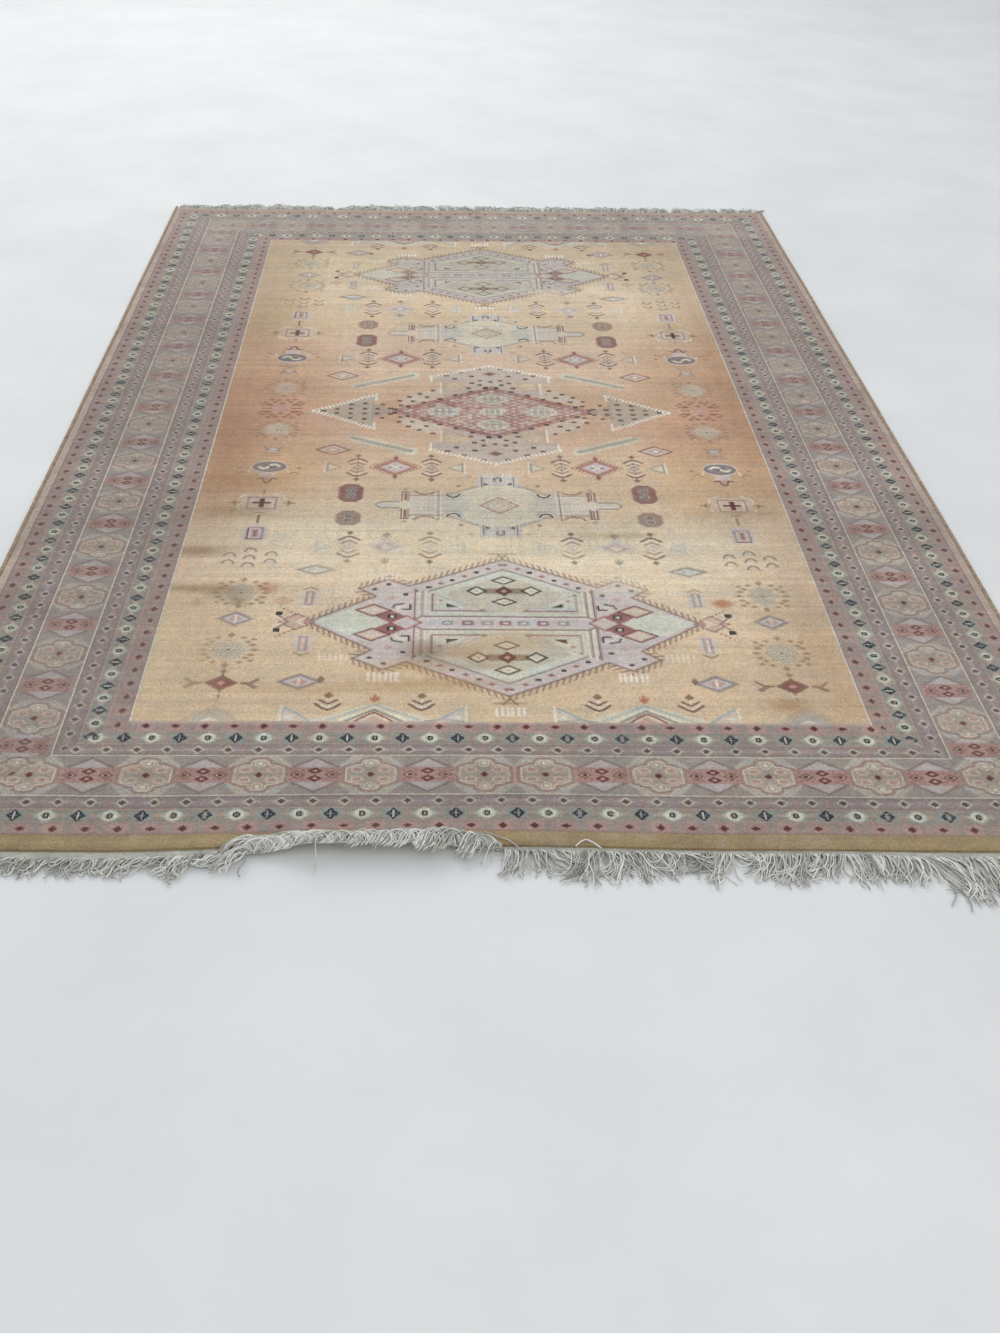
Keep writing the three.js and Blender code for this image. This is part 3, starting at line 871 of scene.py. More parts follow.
    def side_column(self, chart: Chart, u: Array, v: Array) -> None:
        """Tie the column of small motifs beside the side borders."""
        c = self.column_at
        m = chart.motif(u - c, v - 995, 75, 50)
        m.diamond(Wool.DARK_RED, 29, 21, share=0.75)
        m.diamond(Wool.RED, 20, 14, share=0.7)
        m.diamond(Wool.PINK, 8, 6, (0, 0))
        m.line(Wool.BROWN, [(0, -36), (0, -20)], 4, share=0.8)
        m.line(Wool.BROWN, [(-5, -30), (5, -30)], 3, share=0.8)
        m.line(Wool.BROWN, [(0, 20), (0, 38)], 4, share=0.8)
        m.line(Wool.CREAM, [(-6, 28), (6, 28)], 3)
        for side in (-1, 1):
            m.line(Wool.BROWN, [(side * 34, 0), (side * 48, 0), (side * 60, -11)], 5.5, share=0.85)
            m.line(Wool.BROWN, [(side * 40, 0), (side * 56, 12)], 6, share=0.85)
            m.line(Wool.ROSE, [(side * 46, 0), (side * 60, 10)], 4.5, share=0.7)
        for b, tip in ((905, Wool.BROWN), (735, Wool.BROWN)):
            self.star(chart.motif(np.abs(u - c), np.abs(v - b), 56, 54), Wool.MINT, tip)
        self.lozenge(chart.motif(u - c, v - 815, 44, 32), Wool.MAUVE, Wool.LAVENDER, Wool.PINK, 32, 21)
        for column, shift in ((-40, 0), (0, -12), (38, 4)):
            for step in range(2 if column else 3):
                m = chart.motif(u - c - column, v - 604 - shift - 25 * step, 24, 20)
                m.line(Wool.BROWN, [(-11, 6), (-7, -3), (0, -6), (7, -3), (11, 6)], 4.5, share=0.75)
                m.line(Wool.LAVENDER, [(-8, 9), (0, 1), (8, 9)], 3, share=0.8)
        m = chart.motif(u - c, v - 533, 40, 40)
        body = (np.abs(m.a) < 24) & (np.abs(m.b) < 29) & (np.abs(m.a) + np.abs(m.b) < 42)
        m.dye(body, Wool.LAVENDER, 0.85)
        m.box(Wool.LINE, 16, 22, ring=3.4)
        m.box(Wool.PINK, 7, 14, share=0.9)
        m.box(Wool.ROSE, 3.5, 12)
        m = chart.motif(u - c, v - 418, 80, 100)
        m.box(Wool.LAVENDER, 40, 34, share=0.3)
        m.box(Wool.ROSE, 30, 24, ring=4, share=0.8)
        m.box(Wool.PALE_MINT, 26, 20, share=0.3)
        m.box(Wool.PINK, 20, 15, share=0.35)
        m.box(Wool.DARK_RED, 5, 17)
        m.box(Wool.DARK_RED, 19, 3.6)
        m.diamond(Wool.DARK_RED, 9, 9)
        m.line(Wool.INK, [(0, 48), (0, 76)], 4, share=0.85)
        m.line(Wool.BROWN, [(-8, 38), (8, 38)], 4, share=0.7)
        m.line(Wool.BROWN, [(0, -52), (0, -36)], 4, share=0.7)
        for side in (-1, 1):
            m.line(Wool.BROWN, [(side * 44, 0), (side * 66, 0)], 3.5, share=0.75)
            m.line(Wool.BROWN, [(side * 52, -7), (side * 58, 0), (side * 52, 7)], 5, share=0.75)
            m.line(Wool.PALE_MINT, [(side * 22, -38), (side * 42, -28), (side * 46, -14)], 3.5)
            m.line(Wool.PALE_MINT, [(side * 22, 38), (side * 42, 28), (side * 46, 14)], 3.5)
        m = chart.motif(u - c, v - 270, 80, 80)
        m.oval(Wool.LAVENDER, 38, 27, share=0.7)
        m.oval(Wool.INK, 35, 22, share=0.72)
        m.oval(Wool.MAUVE, 29, 17, share=0.8)
        m.line(Wool.CREAM, [(-20, -3), (-12, -11), (0, -7), (4, 4), (13, 9), (21, 2)], 6)
        m.line(Wool.INK, [(-12, 2), (-4, 4), (2, -6), (12, -8)], 4, share=0.6)
        m.box(Wool.LAVENDER, 17, 12, (0, 34), share=0.7)
        m.shape(Wool.PINK, [(-18, 46), (0, 66), (18, 46)], 0.8)
        crown = [(-20, 52), (-10, 48), (-6, 62), (0, 68), (6, 62), (10, 48), (20, 52)]
        m.line(Wool.DARK_RED, crown, 4, share=0.8)
        for side in (-1, 1):
            m.diamond(Wool.BROWN, 7, 4, (side * 62, 6), share=0.8)
            m.line(Wool.CREAM, [(side * 38, 10), (side * 42, 28)], 3)
            m.line(Wool.BROWN, [(side * 40, 30), (side * 54, 22), (side * 62, 30)], 3.5, share=0.7)
        m = chart.motif(u - c, v - 196, 50, 40)
        m.shape(Wool.LAVENDER, [(-16, -6), (-10, 8), (10, 8), (16, -6)], 0.8)
        for side in (-1, 1):
            m.line(Wool.ROSE, [(side * 20, -16), (side * 14, -4), (side * 12, 8)], 4, share=0.8)
        m.oval(Wool.GREY, 12, 10, (0, -4), ring=3)
        m.line(Wool.ROSE, [(-14, 18), (16, 16)], 3.5, share=0.8)
        m.line(Wool.ROSE, [(-18, 26), (24, 26)], 4, share=0.7)
        self.star(chart.motif(np.abs(u - c), np.abs(v - 104), 56, 54), Wool.PALE_MINT, Wool.ROSE)
        m = chart.motif(np.abs(u - c), np.abs(v - 8), 60, 56)
        m.diamond(Wool.PINK, 22, 20, share=0.6)
        for at in ((18, 24), (30, 12), (10, 34), (40, 22), (26, 36), (0, 16)):
            m.diamond(Wool.RED, 8, 6, at, share=0.65)
        m.line(Wool.RED, [(22, 8), (44, 8), (50, 18)], 4, share=0.7)


@dataclass(frozen=True)
class BorderDesign:
    """The eight border bands, each a row of small flowers or dots, with rosettes in the widest."""

    end_pitch: float = 46.0
    side_pitch: float = 33.4

    def tie(self, chart: Chart) -> None:
        """Tie every band that the chart's knots touch."""
        u, v = np.abs(chart.x), np.abs(chart.y)
        side_ring = np.interp(u, RING_X, np.arange(len(RING_X)))
        end_ring = np.interp(v, RING_Y, np.arange(len(RING_Y)))
        ring = np.maximum(side_ring, end_ring)
        on_side = side_ring > end_ring
        shifted = np.abs(chart.x - DESIGN_SHIFT)
        for number, band in enumerate(BANDS):
            part = ring - number
            held = (part >= 0) & ((part < 1) | (number == len(BANDS) - 1))
            for side in (True, False):
                width = band.side if side else band.end
                mask = held & (on_side == side)
                if not mask.any():
                    continue
                knots = np.flatnonzero(mask)
                run = v if side else shifted
                m = Motif(chart, knots, run, (part - 0.5) * width)
                self.ground(m, band, side)
                if band.name.endswith("rose_guard"):
                    self.rose(m, side)
                elif band.name.endswith("mint_guard"):
                    self.mint(m, side, number == 1, width)
                elif band.name.endswith("mauve_guard"):
                    self.mauve(m, side)
                elif band.name == "main_border":
                    self.main(m, side)
                self.settle(m, band, side)
                self.lines(m, band, number, side, width)

    def ground(self, m: Motif, band: Band, side: bool) -> None:
        """Tie a band's ground; the edge band is paler along the sides."""
        grounds = {
            "rose_wool": Wool.GUARD, "mint_wool": Wool.MINT, "mauve_wool": Wool.MAUVE,
            "border_wool": Wool.BORDER, "tan_wool": Wool.EDGE if side else Wool.TAN,
        }
        whole = np.ones(m.a.shape, dtype=bool)
        m.dye(whole, grounds[band.slot])
        if band.slot == "tan_wool":
            m.dye(m.chart.y[m.knots] > 0, Wool.EDGE, 0.7)
            soil = patchwork(m.chart.x[m.knots], m.chart.y[m.knots], 34.0, SEED + 9)
            m.dye(soil > 0.5, Wool.BROWN, 0.22)
            m.dye(soil < -0.4, Wool.EDGE, 0.2)

    def lines(self, m: Motif, band: Band, number: int, side: bool, width: float) -> None:
        """Tie the thin lines where a band meets its neighbours."""
        inner, outer = m.b < -width / 2 + 2.4, m.b > width / 2 - 2.4
        if number == 0:
            m.dye(m.b < -width / 2 + 3.6, Wool.CREAM, 0.75 if side else 0.3)
            m.dye(outer, Wool.PINK, 0.55)
        elif band.name == "main_border":
            m.dye(m.b < -width / 2 + 3.0, Wool.CREAM, 0.55)
            m.dye(m.b > width / 2 - 3.0, Wool.CREAM, 0.55)
        elif band.name.endswith("mint_guard"):
            m.dye(inner, Wool.PINK, 0.4)
            m.dye(outer, Wool.PINK, 0.45)
        elif band.name.endswith("mauve_guard"):
            m.dye(inner | outer, Wool.BROWN, 0.3)
        elif band.name == "outer_rose_guard":
            m.dye(inner, Wool.GREY, 0.4)
            m.dye(outer, Wool.LINE, 0.6)

    def settle(self, m: Motif, band: Band, side: bool) -> None:
        """Fade the side and back bands closer to their ground, with painted shade on the left one and a
        painted sheen toward the far end.
        """
        on_side = np.full(m.a.shape, float(side))
        x, y = m.chart.x[m.knots], m.chart.y[m.knots]
        faded = on_side * (0.12 + 0.22 * smooth((y + 500.0) / 900.0)) + 0.34 * (y > FIELD_HALF_LENGTH)
        if band.slot == "border_wool":
            plain = Wool.BORDER.dye * (1.0 - 0.07 * (y < 800))[:, None]
            m.tint(plain, np.minimum(faded, 0.45))
        elif band.slot == "rose_wool":
            m.tint(Wool.GREY.dye * 0.92, 0.14 * on_side)
        if band.slot != "tan_wool":
            # Painted shade: the left side bands darkened toward the near end.
            worn = (x < 0) * on_side * 0.17 * smooth((800.0 - y) / 300.0)
            m.tint(linear("#6E645E"), worn)
            # Painted sheen: the bands washed paler toward the far end.
            m.tint(linear("#D8D3CC"), 0.1 * smooth((y - 900.0) / 400.0))

    def row(self, m: Motif, pitch: float, shift: float) -> Motif:
        """The band's knots with a measured from the nearest of a row of repeats.

        Args:
            m: the band's knots.
            pitch: the distance between repeats.
            shift: where one of them lies.

        Returns:
            The same knots.
        """
        a = np.zeros(m.chart.x.shape)
        a[m.knots] = (m.a - shift + pitch * 0.5) % pitch - pitch * 0.5
        return Motif(m.chart, m.knots, a, self.full(m))

    def rose(self, m: Motif, side: bool) -> None:
        """Tie dark-red lozenges on pink and grey blocks in turn."""
        pitch = 2 * (self.side_pitch + 1.6 if side else self.end_pitch + 0.5)
        first = self.row(m, pitch, pitch * 0.25)
        first.box(Wool.PINK, 14, 12, share=0.45)
        first.diamond(Wool.DARK_RED, 7.2, 7.4)
        second = self.row(m, pitch, -pitch * 0.25)
        second.box(Wool.CLAY, 15, 12, share=0.3)
        second.diamond(Wool.PINK, 14, 10, share=0.3)
        second.diamond(Wool.DARK_RED, 8.0, 5.4)
        block = self.row(m, pitch * 0.5, 0.0)
        block.box(Wool.GREY, 4.5, 12, share=0.35)

    def full(self, m: Motif) -> Array:
        """A motif's b spread back over the whole chart."""
        out = np.full(m.chart.x.shape, OFF_CHART)
        out[m.knots] = m.b
        return out

    def mint(self, m: Motif, side: bool, inner: bool, width: float) -> None:
        """Tie navy and cream flowers in turn on the mint ground."""
        end_pitch = self.end_pitch - 2.4 if inner else self.end_pitch
        pitch = 2 * (self.side_pitch - 2.0 if side else end_pitch)
        m.dye(np.abs(m.b) > width * 0.36, Wool.MAUVE, 0.6)
        navy = self.row(m, pitch, 0.0)
        navy.diamond(Wool.SKY, 17, 15, share=0.3)
        for at in ((0, 6.8), (0, -6.8), (6.2, 0), (-6.2, 0)):
            navy.diamond(Wool.NAVY, 5.8, 5.8, at)
        navy.oval(Wool.NAVY, 6.6, 6.6)
        navy.line(Wool.CREAM, [(0, -6.5), (0, 6.5)], 2.2, share=0.62)
        navy.line(Wool.SKY, [(-5, 0), (5, 0)], 2.0, share=0.4)
        flower = self.row(m, pitch, pitch * 0.5)
        flower.diamond(Wool.PALE_MINT, 20, 15, share=0.35)
        size = 0.82 if side else 1.0
        flower.oval(Wool.PALE_MINT, 12 * size, 10.6 * size, share=0.7)
        flower.oval(Wool.CREAM, 9.8 * size, 9.6 * size, share=0.3 if side else 0.5)
        flower.oval(Wool.NAVY, 5.4, 6.4)
        flower.oval(Wool.MOSS, 5.0, 6.0, share=0.4)
        flower.oval(Wool.CREAM, 1.5, 2.8, share=0.55)
        dots = self.row(m, pitch * 0.5, pitch * 0.25)
        dots.diamond(Wool.PINK, 7, 8, share=0.4)
        for side in (-1, 1):
            dots.diamond(Wool.ROSE, 4, 4, (0, side * width * 0.24), share=0.45)

    def mauve(self, m: Motif, side: bool) -> None:
        """Tie cream-ringed lozenges with pink dots between them."""
        pitch = self.side_pitch + 1.2 if side else self.end_pitch + 0.8
        lozenge = self.row(m, pitch, pitch * 0.5)
        lozenge.diamond(Wool.CREAM, 11, 10, share=0.45 if side else 0.6)
        lozenge.diamond(Wool.DARK_RED, 6.8, 6.4, share=0.8)
        lozenge.diamond(Wool.INK, 6.8, 6.4, share=0.6)
        dots = self.row(m, pitch, 0.0)
        dots.oval(Wool.PINK, 6, 4.5, share=0.45)
        for side in (-1, 1):
            dots.diamond(Wool.LAVENDER, 5, 4, (side * 10, 0), share=0.3)

    def main(self, m: Motif, side: bool) -> None:
        """Tie the rosettes and the barred cartouches between them."""
        if side:
            rosettes = (82, 250, 417, 585, 753, 920, 1088, 1218)
            bars = (0, 166, 333.5, 501, 669, 836.5, 1004, 1153)
        else:
            rosettes = (47, 221, 391, 561, 736)
            bars = (134, 306, 476, 648)
        whole = self.full(m)
        run = np.full(m.chart.x.shape, OFF_CHART)
        run[m.knots] = m.a
        for tie, places in ((self.cartouche, bars), (self.rosette, rosettes)):
            for at in places:
                a, b = (whole, run - at) if side else (run - at, whole)
                tie(m.chart.motif(a, b, 60, 60))
        if not side:
            mid = m.chart.motif(run, whole, 12, 40)
            mid.line(Wool.PINK, [(0, -18), (0, 18)], 5, share=0.8)

    def cartouche(self, m: Motif) -> None:
        """Tie a clay bar with its diamonds, and the roofs over and under it."""
        for side in (-1, 1):
            for a in (-1, 1):
                m.shape(Wool.GREY, [(a * 50, side * 46), (a * 6, side * 46), (a * 46, side * 20)], 0.35)
            m.shape(Wool.LAVENDER, [(-28, side * 17), (0, side * 36), (28, side * 17)], 0.5)
            m.line(Wool.LINE, [(-34, side * 18), (0, side * 39), (34, side * 18)], 3.2, share=0.55)
            m.line(Wool.MINT, [(-42, side * 20), (0, side * 44), (42, side * 20)], 3.2, share=0.8)
        bar = (np.abs(m.a) < 42) & (np.abs(m.b) < 17)
        m.dye(bar, Wool.CLAY, 0.8)
        m.dye(bar & (np.abs(m.b) > 14.5), Wool.LINE, 0.35)
        for at in ((-27, 0), (27, 0)):
            m.diamond(Wool.DARK_RED, 12, 10, at, ring=3.4, share=0.75)
            m.diamond(Wool.CREAM, 7.5, 6, at, share=0.3)
            m.diamond(Wool.DARK_RED, 4.8, 4.6, at)
            for a, b in ((-9, -9), (9, -9), (-9, 9), (9, 9)):
                m.box(Wool.RED, 2.4, 2.0, (at[0] + a, b), share=0.6)
        for at in ((0, -8.5), (0, 8.5)):
            m.diamond(Wool.PINK, 16, 11, at, ring=3.0, share=0.7)
            m.diamond(Wool.DARK_RED, 12.5, 8.2, at)
            m.diamond(Wool.PINK, 4.6, 3.2, at)

    def rosette(self, m: Motif) -> None:
        """Tie a lobed rosette: a clay outline, a cream line, and petals round a red heart."""
        a, b = np.abs(m.a), np.abs(m.b)
        outline = [(0, 38), (10, 37), (16, 32), (17, 26), (27, 25), (35, 20), (41, 18), (42, 0)]
        body = inside(outline + [(0, 0)], a, b)
        gap, _ = along(outline, a, b)
        lobe = (a + 0.9 * b < 68) & (a < 48) & (b > 18) & (b < 44) & ~body
        m.dye(lobe, Wool.PALE_MINT, 0.24)
        m.dye(lobe & (((a + b) / 9.0) % 1.0 < 0.4), Wool.CREAM, 0.25)
        m.dye(body, Wool.SAND, 0.38)
        m.dye(body & (gap > 3.0) & (gap < 5.6), Wool.CREAM, 0.55)
        m.dye(gap < 2.2, Wool.ROSE, 0.9)
        m.dye((a < 8) & (b < 26) | (b < 5) & (a < 26), Wool.MINT, 0.4)
        for at in ((0, 26), (0, -26)):
            m.oval(Wool.CREAM, 9.5, 9, at, ring=2.4, share=0.55)
            m.oval(Wool.CREAM, 4, 4, at, share=0.75)
        for at in ((21, 11), (-21, 11), (21, -11), (-21, -11)):
            m.oval(Wool.CLAY, 9, 6.5, at, share=0.6)
            m.oval(Wool.CREAM, 10, 7, at, ring=2.2, share=0.45)
        m.diamond(Wool.PINK, 11, 10, share=0.3)
        m.diamond(Wool.DARK_RED, 6.5, 7)


@dataclass(frozen=True)
class DyeLots:
    """Small changes of tone from row to row and from knot to knot, as in hand-dyed yarn."""

    rows: int = 900
    row_depth: float = 0.045
    knot_depth: float = 0.075
    patch_depth: float = 0.032

    def tone(self, chart: Chart, seed: int) -> None:
        """Change the tied colours by row and by knot.

        Args:
            chart: the tied chart.
            seed: the seed of the knots' own changes.
        """
        rng = np.random.default_rng(SEED)
        fine = rng.normal(size=self.rows)
        slow = np.convolve(rng.normal(size=self.rows + 30), np.ones(31) / 5.5, mode="valid")
        marks = np.linspace(-1400, 1400, self.rows)
        tone = np.interp(chart.y, marks, self.row_depth * (0.45 * fine + 0.75 * slow))
        columns = np.interp(chart.x, np.linspace(-950, 950, 200), 0.012 * rng.normal(size=200))
        knots = np.random.default_rng(seed).normal(size=chart.x.size) * self.knot_depth
        patches = patchwork(chart.x, chart.y, 11.0, SEED + 5)
        patches = patches + patchwork(chart.x, chart.y, 47.0, SEED + 6)
        factor = 1.0 + tone + columns + knots + self.patch_depth * patches
        chart.rgb *= np.clip(factor, 0.6, 1.4)[:, None]
        warm = 0.028 * patchwork(chart.x, chart.y, 19.0, SEED + 7)
        chart.rgb *= 1.0 + warm[:, None] * np.array([1.0, 0.1, -1.0])
        np.clip(chart.rgb, 0.0, 1.0, out=chart.rgb)


FIELD = FieldDesign()
BORDER = BorderDesign()
LOTS = DyeLots()
# A knot takes the mean colour of the design at these places round its middle.
TAPS = ((-0.7, -0.6), (0.7, -0.6), (-0.7, 0.6), (0.7, 0.6))


def tie_chart(x: Array, y: Array, seed: int) -> Array:
    """Tie the rug's design at the given knots.

    Args:
        x: across the rug, in millimetres.
        y: along the rug, in millimetres.
        seed: the seed of the knots' own changes.

    Returns:
        One linear colour for each knot.
    """
    chart = Chart(x, y)
    in_field = (np.abs(x) <= FIELD_HALF_WIDTH) & (np.abs(y) <= FIELD_HALF_LENGTH)
    for mask, design in ((in_field, FIELD), (~in_field, BORDER)):
        if not mask.any():
            continue
        for a, b in TAPS:
            part = Chart(x[mask] + a, y[mask] + b)
            design.tie(part)
            chart.rgb[mask] += part.rgb / len(TAPS)
    LOTS.tone(chart, seed)
    return chart.rgb


# ---------------------------------------------------------------------------------------------
# Mesh tools
# ---------------------------------------------------------------------------------------------


def new_piece(name: str, points: Array, faces: list[list[int]]) -> Piece:
    """Make an object from points and faces.

    Args:
        name: the piece's name.
        points: n by 3, in metres.
        faces: each face's corners, counter-clockwise seen from outside.

    Returns:
        The object, in the scene.
    """
    mesh = bpy.data.meshes.new(name)
    mesh.from_pydata(points.tolist(), [], faces)
    mesh.update()
    piece = bpy.data.objects.new(name, mesh)
    bpy.context.scene.collection.objects.link(piece)
    return piece


def colour_faces(piece: Piece, name: str, rgb: Array) -> None:
    """Give each face of a piece its colour.

    Args:
        piece: the piece.
        name: the attribute's name.
        rgb: one linear colour for each face.
    """
    layer = piece.data.attributes.new(name, "FLOAT_COLOR", "FACE")
    rgba = np.ones((len(piece.data.polygons), 4), dtype=np.float32)
    rgba[:, :3] = rgb
    layer.data.foreach_set("color", rgba.ravel())


def tone_faces(piece: Piece, tones: Array) -> None:
    """Give each face of a piece its tone of yarn, from 0 to 1."""
    layer = piece.data.attributes.new("yarn_tone", "FLOAT", "FACE")
    layer.data.foreach_set("value", tones.astype(np.float32))


def uneven(piece: Piece, seed: int) -> None:
    """Give each face of a piece its own tone of yarn."""
    tone_faces(piece, np.random.default_rng(seed).uniform(0.2, 0.9, len(piece.data.polygons)))


def add_map(piece: Piece, name: str, uv: Array) -> None:
    """Give a piece a UV map.

    Args:
        piece: the piece.
        name: the map's name.
        uv: two values for each face corner.
    """
    layer = piece.data.uv_layers.new(name=name)
    layer.data.foreach_set("uv", uv.astype(np.float32).ravel())


def smooth_faces(piece: Piece, count: int | None = None) -> None:
    """Shade a piece's first count faces smooth, or all of them."""
    total = len(piece.data.polygons)
    flags = np.zeros(total, dtype=bool)
    flags[: total if count is None else count] = True
    piece.data.polygons.foreach_set("use_smooth", flags)


def sharpen_rim(piece: Piece, fine: int, rim: Array) -> None:
    """Keep the fine face's edge crisp, so that its shading does not roll into the walls.

    Args:
        piece: the slab.
        fine: how many points its fine face has.
        rim: the fine face's edge points.
    """
    ends = np.empty(len(piece.data.edges) * 2, dtype=np.int32)
    piece.data.edges.foreach_get("vertices", ends)
    ends = ends.reshape(-1, 2)
    on_rim = np.zeros(len(piece.data.vertices), dtype=bool)
    on_rim[rim] = True
    sharp = on_rim[ends].all(axis=1) & (ends < fine).all(axis=1)
    layer = piece.data.attributes.new("sharp_edge", "BOOLEAN", "EDGE")
    layer.data.foreach_set("value", sharp)


@dataclass
class KnottedSheet:
    """A closed slab with one fine face of knot-sized cells and one coarse face (mm)."""

    name: str
    x0: float
    x1: float
    y0: float
    y1: float
    cell_x: float
    cell_y: float
    fine_side: Callable[[Array, Array], Array]
    coarse_side: float
    fine_up: bool = True
    coarse: int = 6

    def build(self, seed: int) -> Piece:
        """Build, lay and map the slab, with every face coloured from the chart.

        Args:
            seed: the seed for the knots' own tones.

        Returns:
            The piece.
        """
        step = self.coarse
        nx = max(1, round((self.x1 - self.x0) / self.cell_x / step)) * step
        ny = max(1, round((self.y1 - self.y0) / self.cell_y / step)) * step
        xs = np.linspace(self.x0, self.x1, nx + 1)
        ys = np.linspace(self.y0, self.y1, ny + 1)
        gx, gy = np.meshgrid(xs, ys)
        fine = np.stack([gx.ravel(), gy.ravel(), self.fine_side(gx, gy).ravel()], axis=1)
        index = np.full((ny + 1, nx + 1), -1)
        kept = np.zeros((ny + 1, nx + 1), dtype=bool)
        kept[0, :] = kept[-1, :] = kept[:, 0] = kept[:, -1] = True
        kept[::step, ::step] = True
        index[kept] = np.arange(kept.sum()) + len(fine)
        back = np.stack([gx[kept], gy[kept], np.full(kept.sum(), self.coarse_side)], axis=1)
        points = np.concatenate([fine, back])

        rows = np.arange(ny)[:, None] * (nx + 1) + np.arange(nx)[None, :]
        corner = rows.ravel()
        quads = np.stack([corner, corner + 1, corner + nx + 2, corner + nx + 1], axis=1)
        rim = self.rim(nx, ny)
        front = rim[:, 1] * (nx + 1) + rim[:, 0]
        behind = index[rim[:, 1], rim[:, 0]]
        walls = np.stack([behind, np.roll(behind, -1), np.roll(front, -1), front], axis=1)
        cover = self.cover(nx, ny, index)
        if not self.fine_up:
            quads, walls = quads[:, ::-1], walls[:, ::-1]
            cover = [face[::-1] for face in cover]
        faces = quads.tolist() + walls.tolist() + cover

        piece = new_piece(self.name, LAY.place(points), faces)
        middles = self.middles(points, quads, walls, cover)
        colour_faces(piece, "knot_wool", tie_chart(middles[:, 0], middles[:, 1], seed))
        self.map_faces(piece, points, nx, ny, len(walls))
        smooth_faces(piece, nx * ny)
        sharpen_rim(piece, (nx + 1) * (ny + 1), front)
        return piece

    def rim(self, nx: int, ny: int) -> Array:
        """Grid places round the edge, counter-clockwise seen from above."""
        low = [(i, 0) for i in range(nx)]
        right = [(nx, j) for j in range(ny)]
        high = [(i, ny) for i in range(nx, 0, -1)]
        left = [(0, j) for j in range(ny, 0, -1)]
        return np.array(low + right + high + left)

    def cover(self, nx: int, ny: int, index: Array) -> list[list[int]]:
        """The coarse faces, turned away from the fine side, with every rim point in them."""
        step = self.coarse
        faces = []
        for j in range(0, ny, step):
            for i in range(0, nx, step):
                low = range(i, i + step) if j == 0 else (i,)
                right = range(j, j + step) if i + step == nx else (j,)
                high = range(i + step, i, -1) if j + step == ny else (i + step,)
                left = range(j + step, j, -1) if i == 0 else (j + step,)
                loop = [index[j, k] for k in low]
                loop += [index[k, i + step] for k in right]
                loop += [index[j + step, k] for k in high]
                loop += [index[k, i] for k in left]
                faces.append([int(k) for k in loop[::-1]])
        return faces

    def middles(
        self, points: Array, quads: Array, walls: Array, cover: list[list[int]]
    ) -> Array:
        """Each face's middle on the flat rug."""
        top = points[quads].mean(axis=1)
        side = points[walls].mean(axis=1)
        back = np.array([points[face].mean(axis=0) for face in cover])
        return np.concatenate([top, side, back])

    def map_faces(self, piece: Piece, points: Array, nx: int, ny: int, walls: int) -> None:
        """Fold the fine side into strips side by side on the map, the rest in its margins."""
        width, length = self.x1 - self.x0, self.y1 - self.y0
        across = width > length
        if across:
            width, length = length, width
        folds = max(1, round(math.sqrt(length / width)))
        lines = nx if across else ny
        per_fold = math.ceil(lines / folds)
        mesh = piece.data
        corner = np.empty(len(mesh.loops), dtype=np.int32)
        mesh.loops.foreach_get("vertex_index", corner)
        totals = np.empty(len(mesh.polygons), dtype=np.int32)
        mesh.polygons.foreach_get("loop_total", totals)
        face = np.repeat(np.arange(len(totals)), totals)
        x = points[corner, 0] - self.x0
        y = points[corner, 1] - self.y0
        if across:
            x, y = y, x
        line = face % nx if across else face // nx
        fold = line // per_fold
        fold_length = length * per_fold / lines
        gutter, margin = 6.0, 0.004
        scale = 0.9 / max(folds * (width + gutter), fold_length)
        u = (fold * (width + gutter) + x) * scale + margin
        v = (y - fold * fold_length) * scale + margin
        is_wall = (face >= nx * ny) & (face < nx * ny + walls)
        is_back = face >= nx * ny + walls
        u = np.where(is_back, 0.93 + 0.06 * x / width, u)
        v = np.where(is_back, 0.01 + 0.88 * y / length, v)
        on_fine = corner < (nx + 1) * (ny + 1)
        run = (face - nx * ny + np.isin(np.arange(len(face)) % 4, (1, 2))) / max(walls, 1)
        u = np.where(is_wall, 0.01 + 0.9 * run, u)
        v = np.where(is_wall, 0.93 + 0.05 * on_fine, v)
        add_map(piece, "OFBake", np.stack([u, v], axis=1))


def strand_mesh(name: str, paths: Array, radii: Array, sides: int = 4) -> Piece:
    """Make many yarns as thin closed tubes in one mesh.

    Args:
        name: the piece's name.
        paths: yarns by points by 3, in metres.
        radii: yarns by points, in metres.
        sides: how many sides a tube has.

    Returns:
        The piece, with a yarn map that runs along and round each tube.
    """
    count, stops = paths.shape[:2]
    tangent = np.gradient(paths, axis=1)
    tangent /= np.linalg.norm(tangent, axis=2, keepdims=True) + 1e-12
    up = np.zeros_like(tangent)
    up[..., 2] = 1.0
    side = np.cross(tangent, up)
    side /= np.linalg.norm(side, axis=2, keepdims=True) + 1e-9
    over = np.cross(side, tangent)
    turn = np.arange(sides) * 2 * math.pi / sides + math.pi / sides
    ring = side[:, :, None] * np.cos(turn)[None, None, :, None]
    ring = ring + over[:, :, None] * np.sin(turn)[None, None, :, None]
    points = paths[:, :, None] + ring * radii[:, :, None, None]
    first = (np.arange(count) * stops * sides)[:, None, None]
    at = first + (np.arange(stops - 1) * sides)[None, :, None] + np.arange(sides)[None, None, :]
    beside = first + (np.arange(stops - 1) * sides)[None, :, None]
    beside = beside + ((np.arange(sides) + 1) % sides)[None, None, :]
    quads = np.stack([at, at + sides, beside + sides, beside], axis=-1).reshape(-1, 4)
    base = first[:, 0, 0][:, None]
    start = base + np.arange(sides)[None, :]
    end = base + (stops - 1) * sides + np.arange(sides)[::-1][None, :]
    faces = quads.tolist() + start.tolist() + end.tolist()
    piece = new_piece(name, points.reshape(-1, 3), faces)
    smooth_faces(piece, len(quads))
    map_strands(piece, count, stops, sides)
    return piece


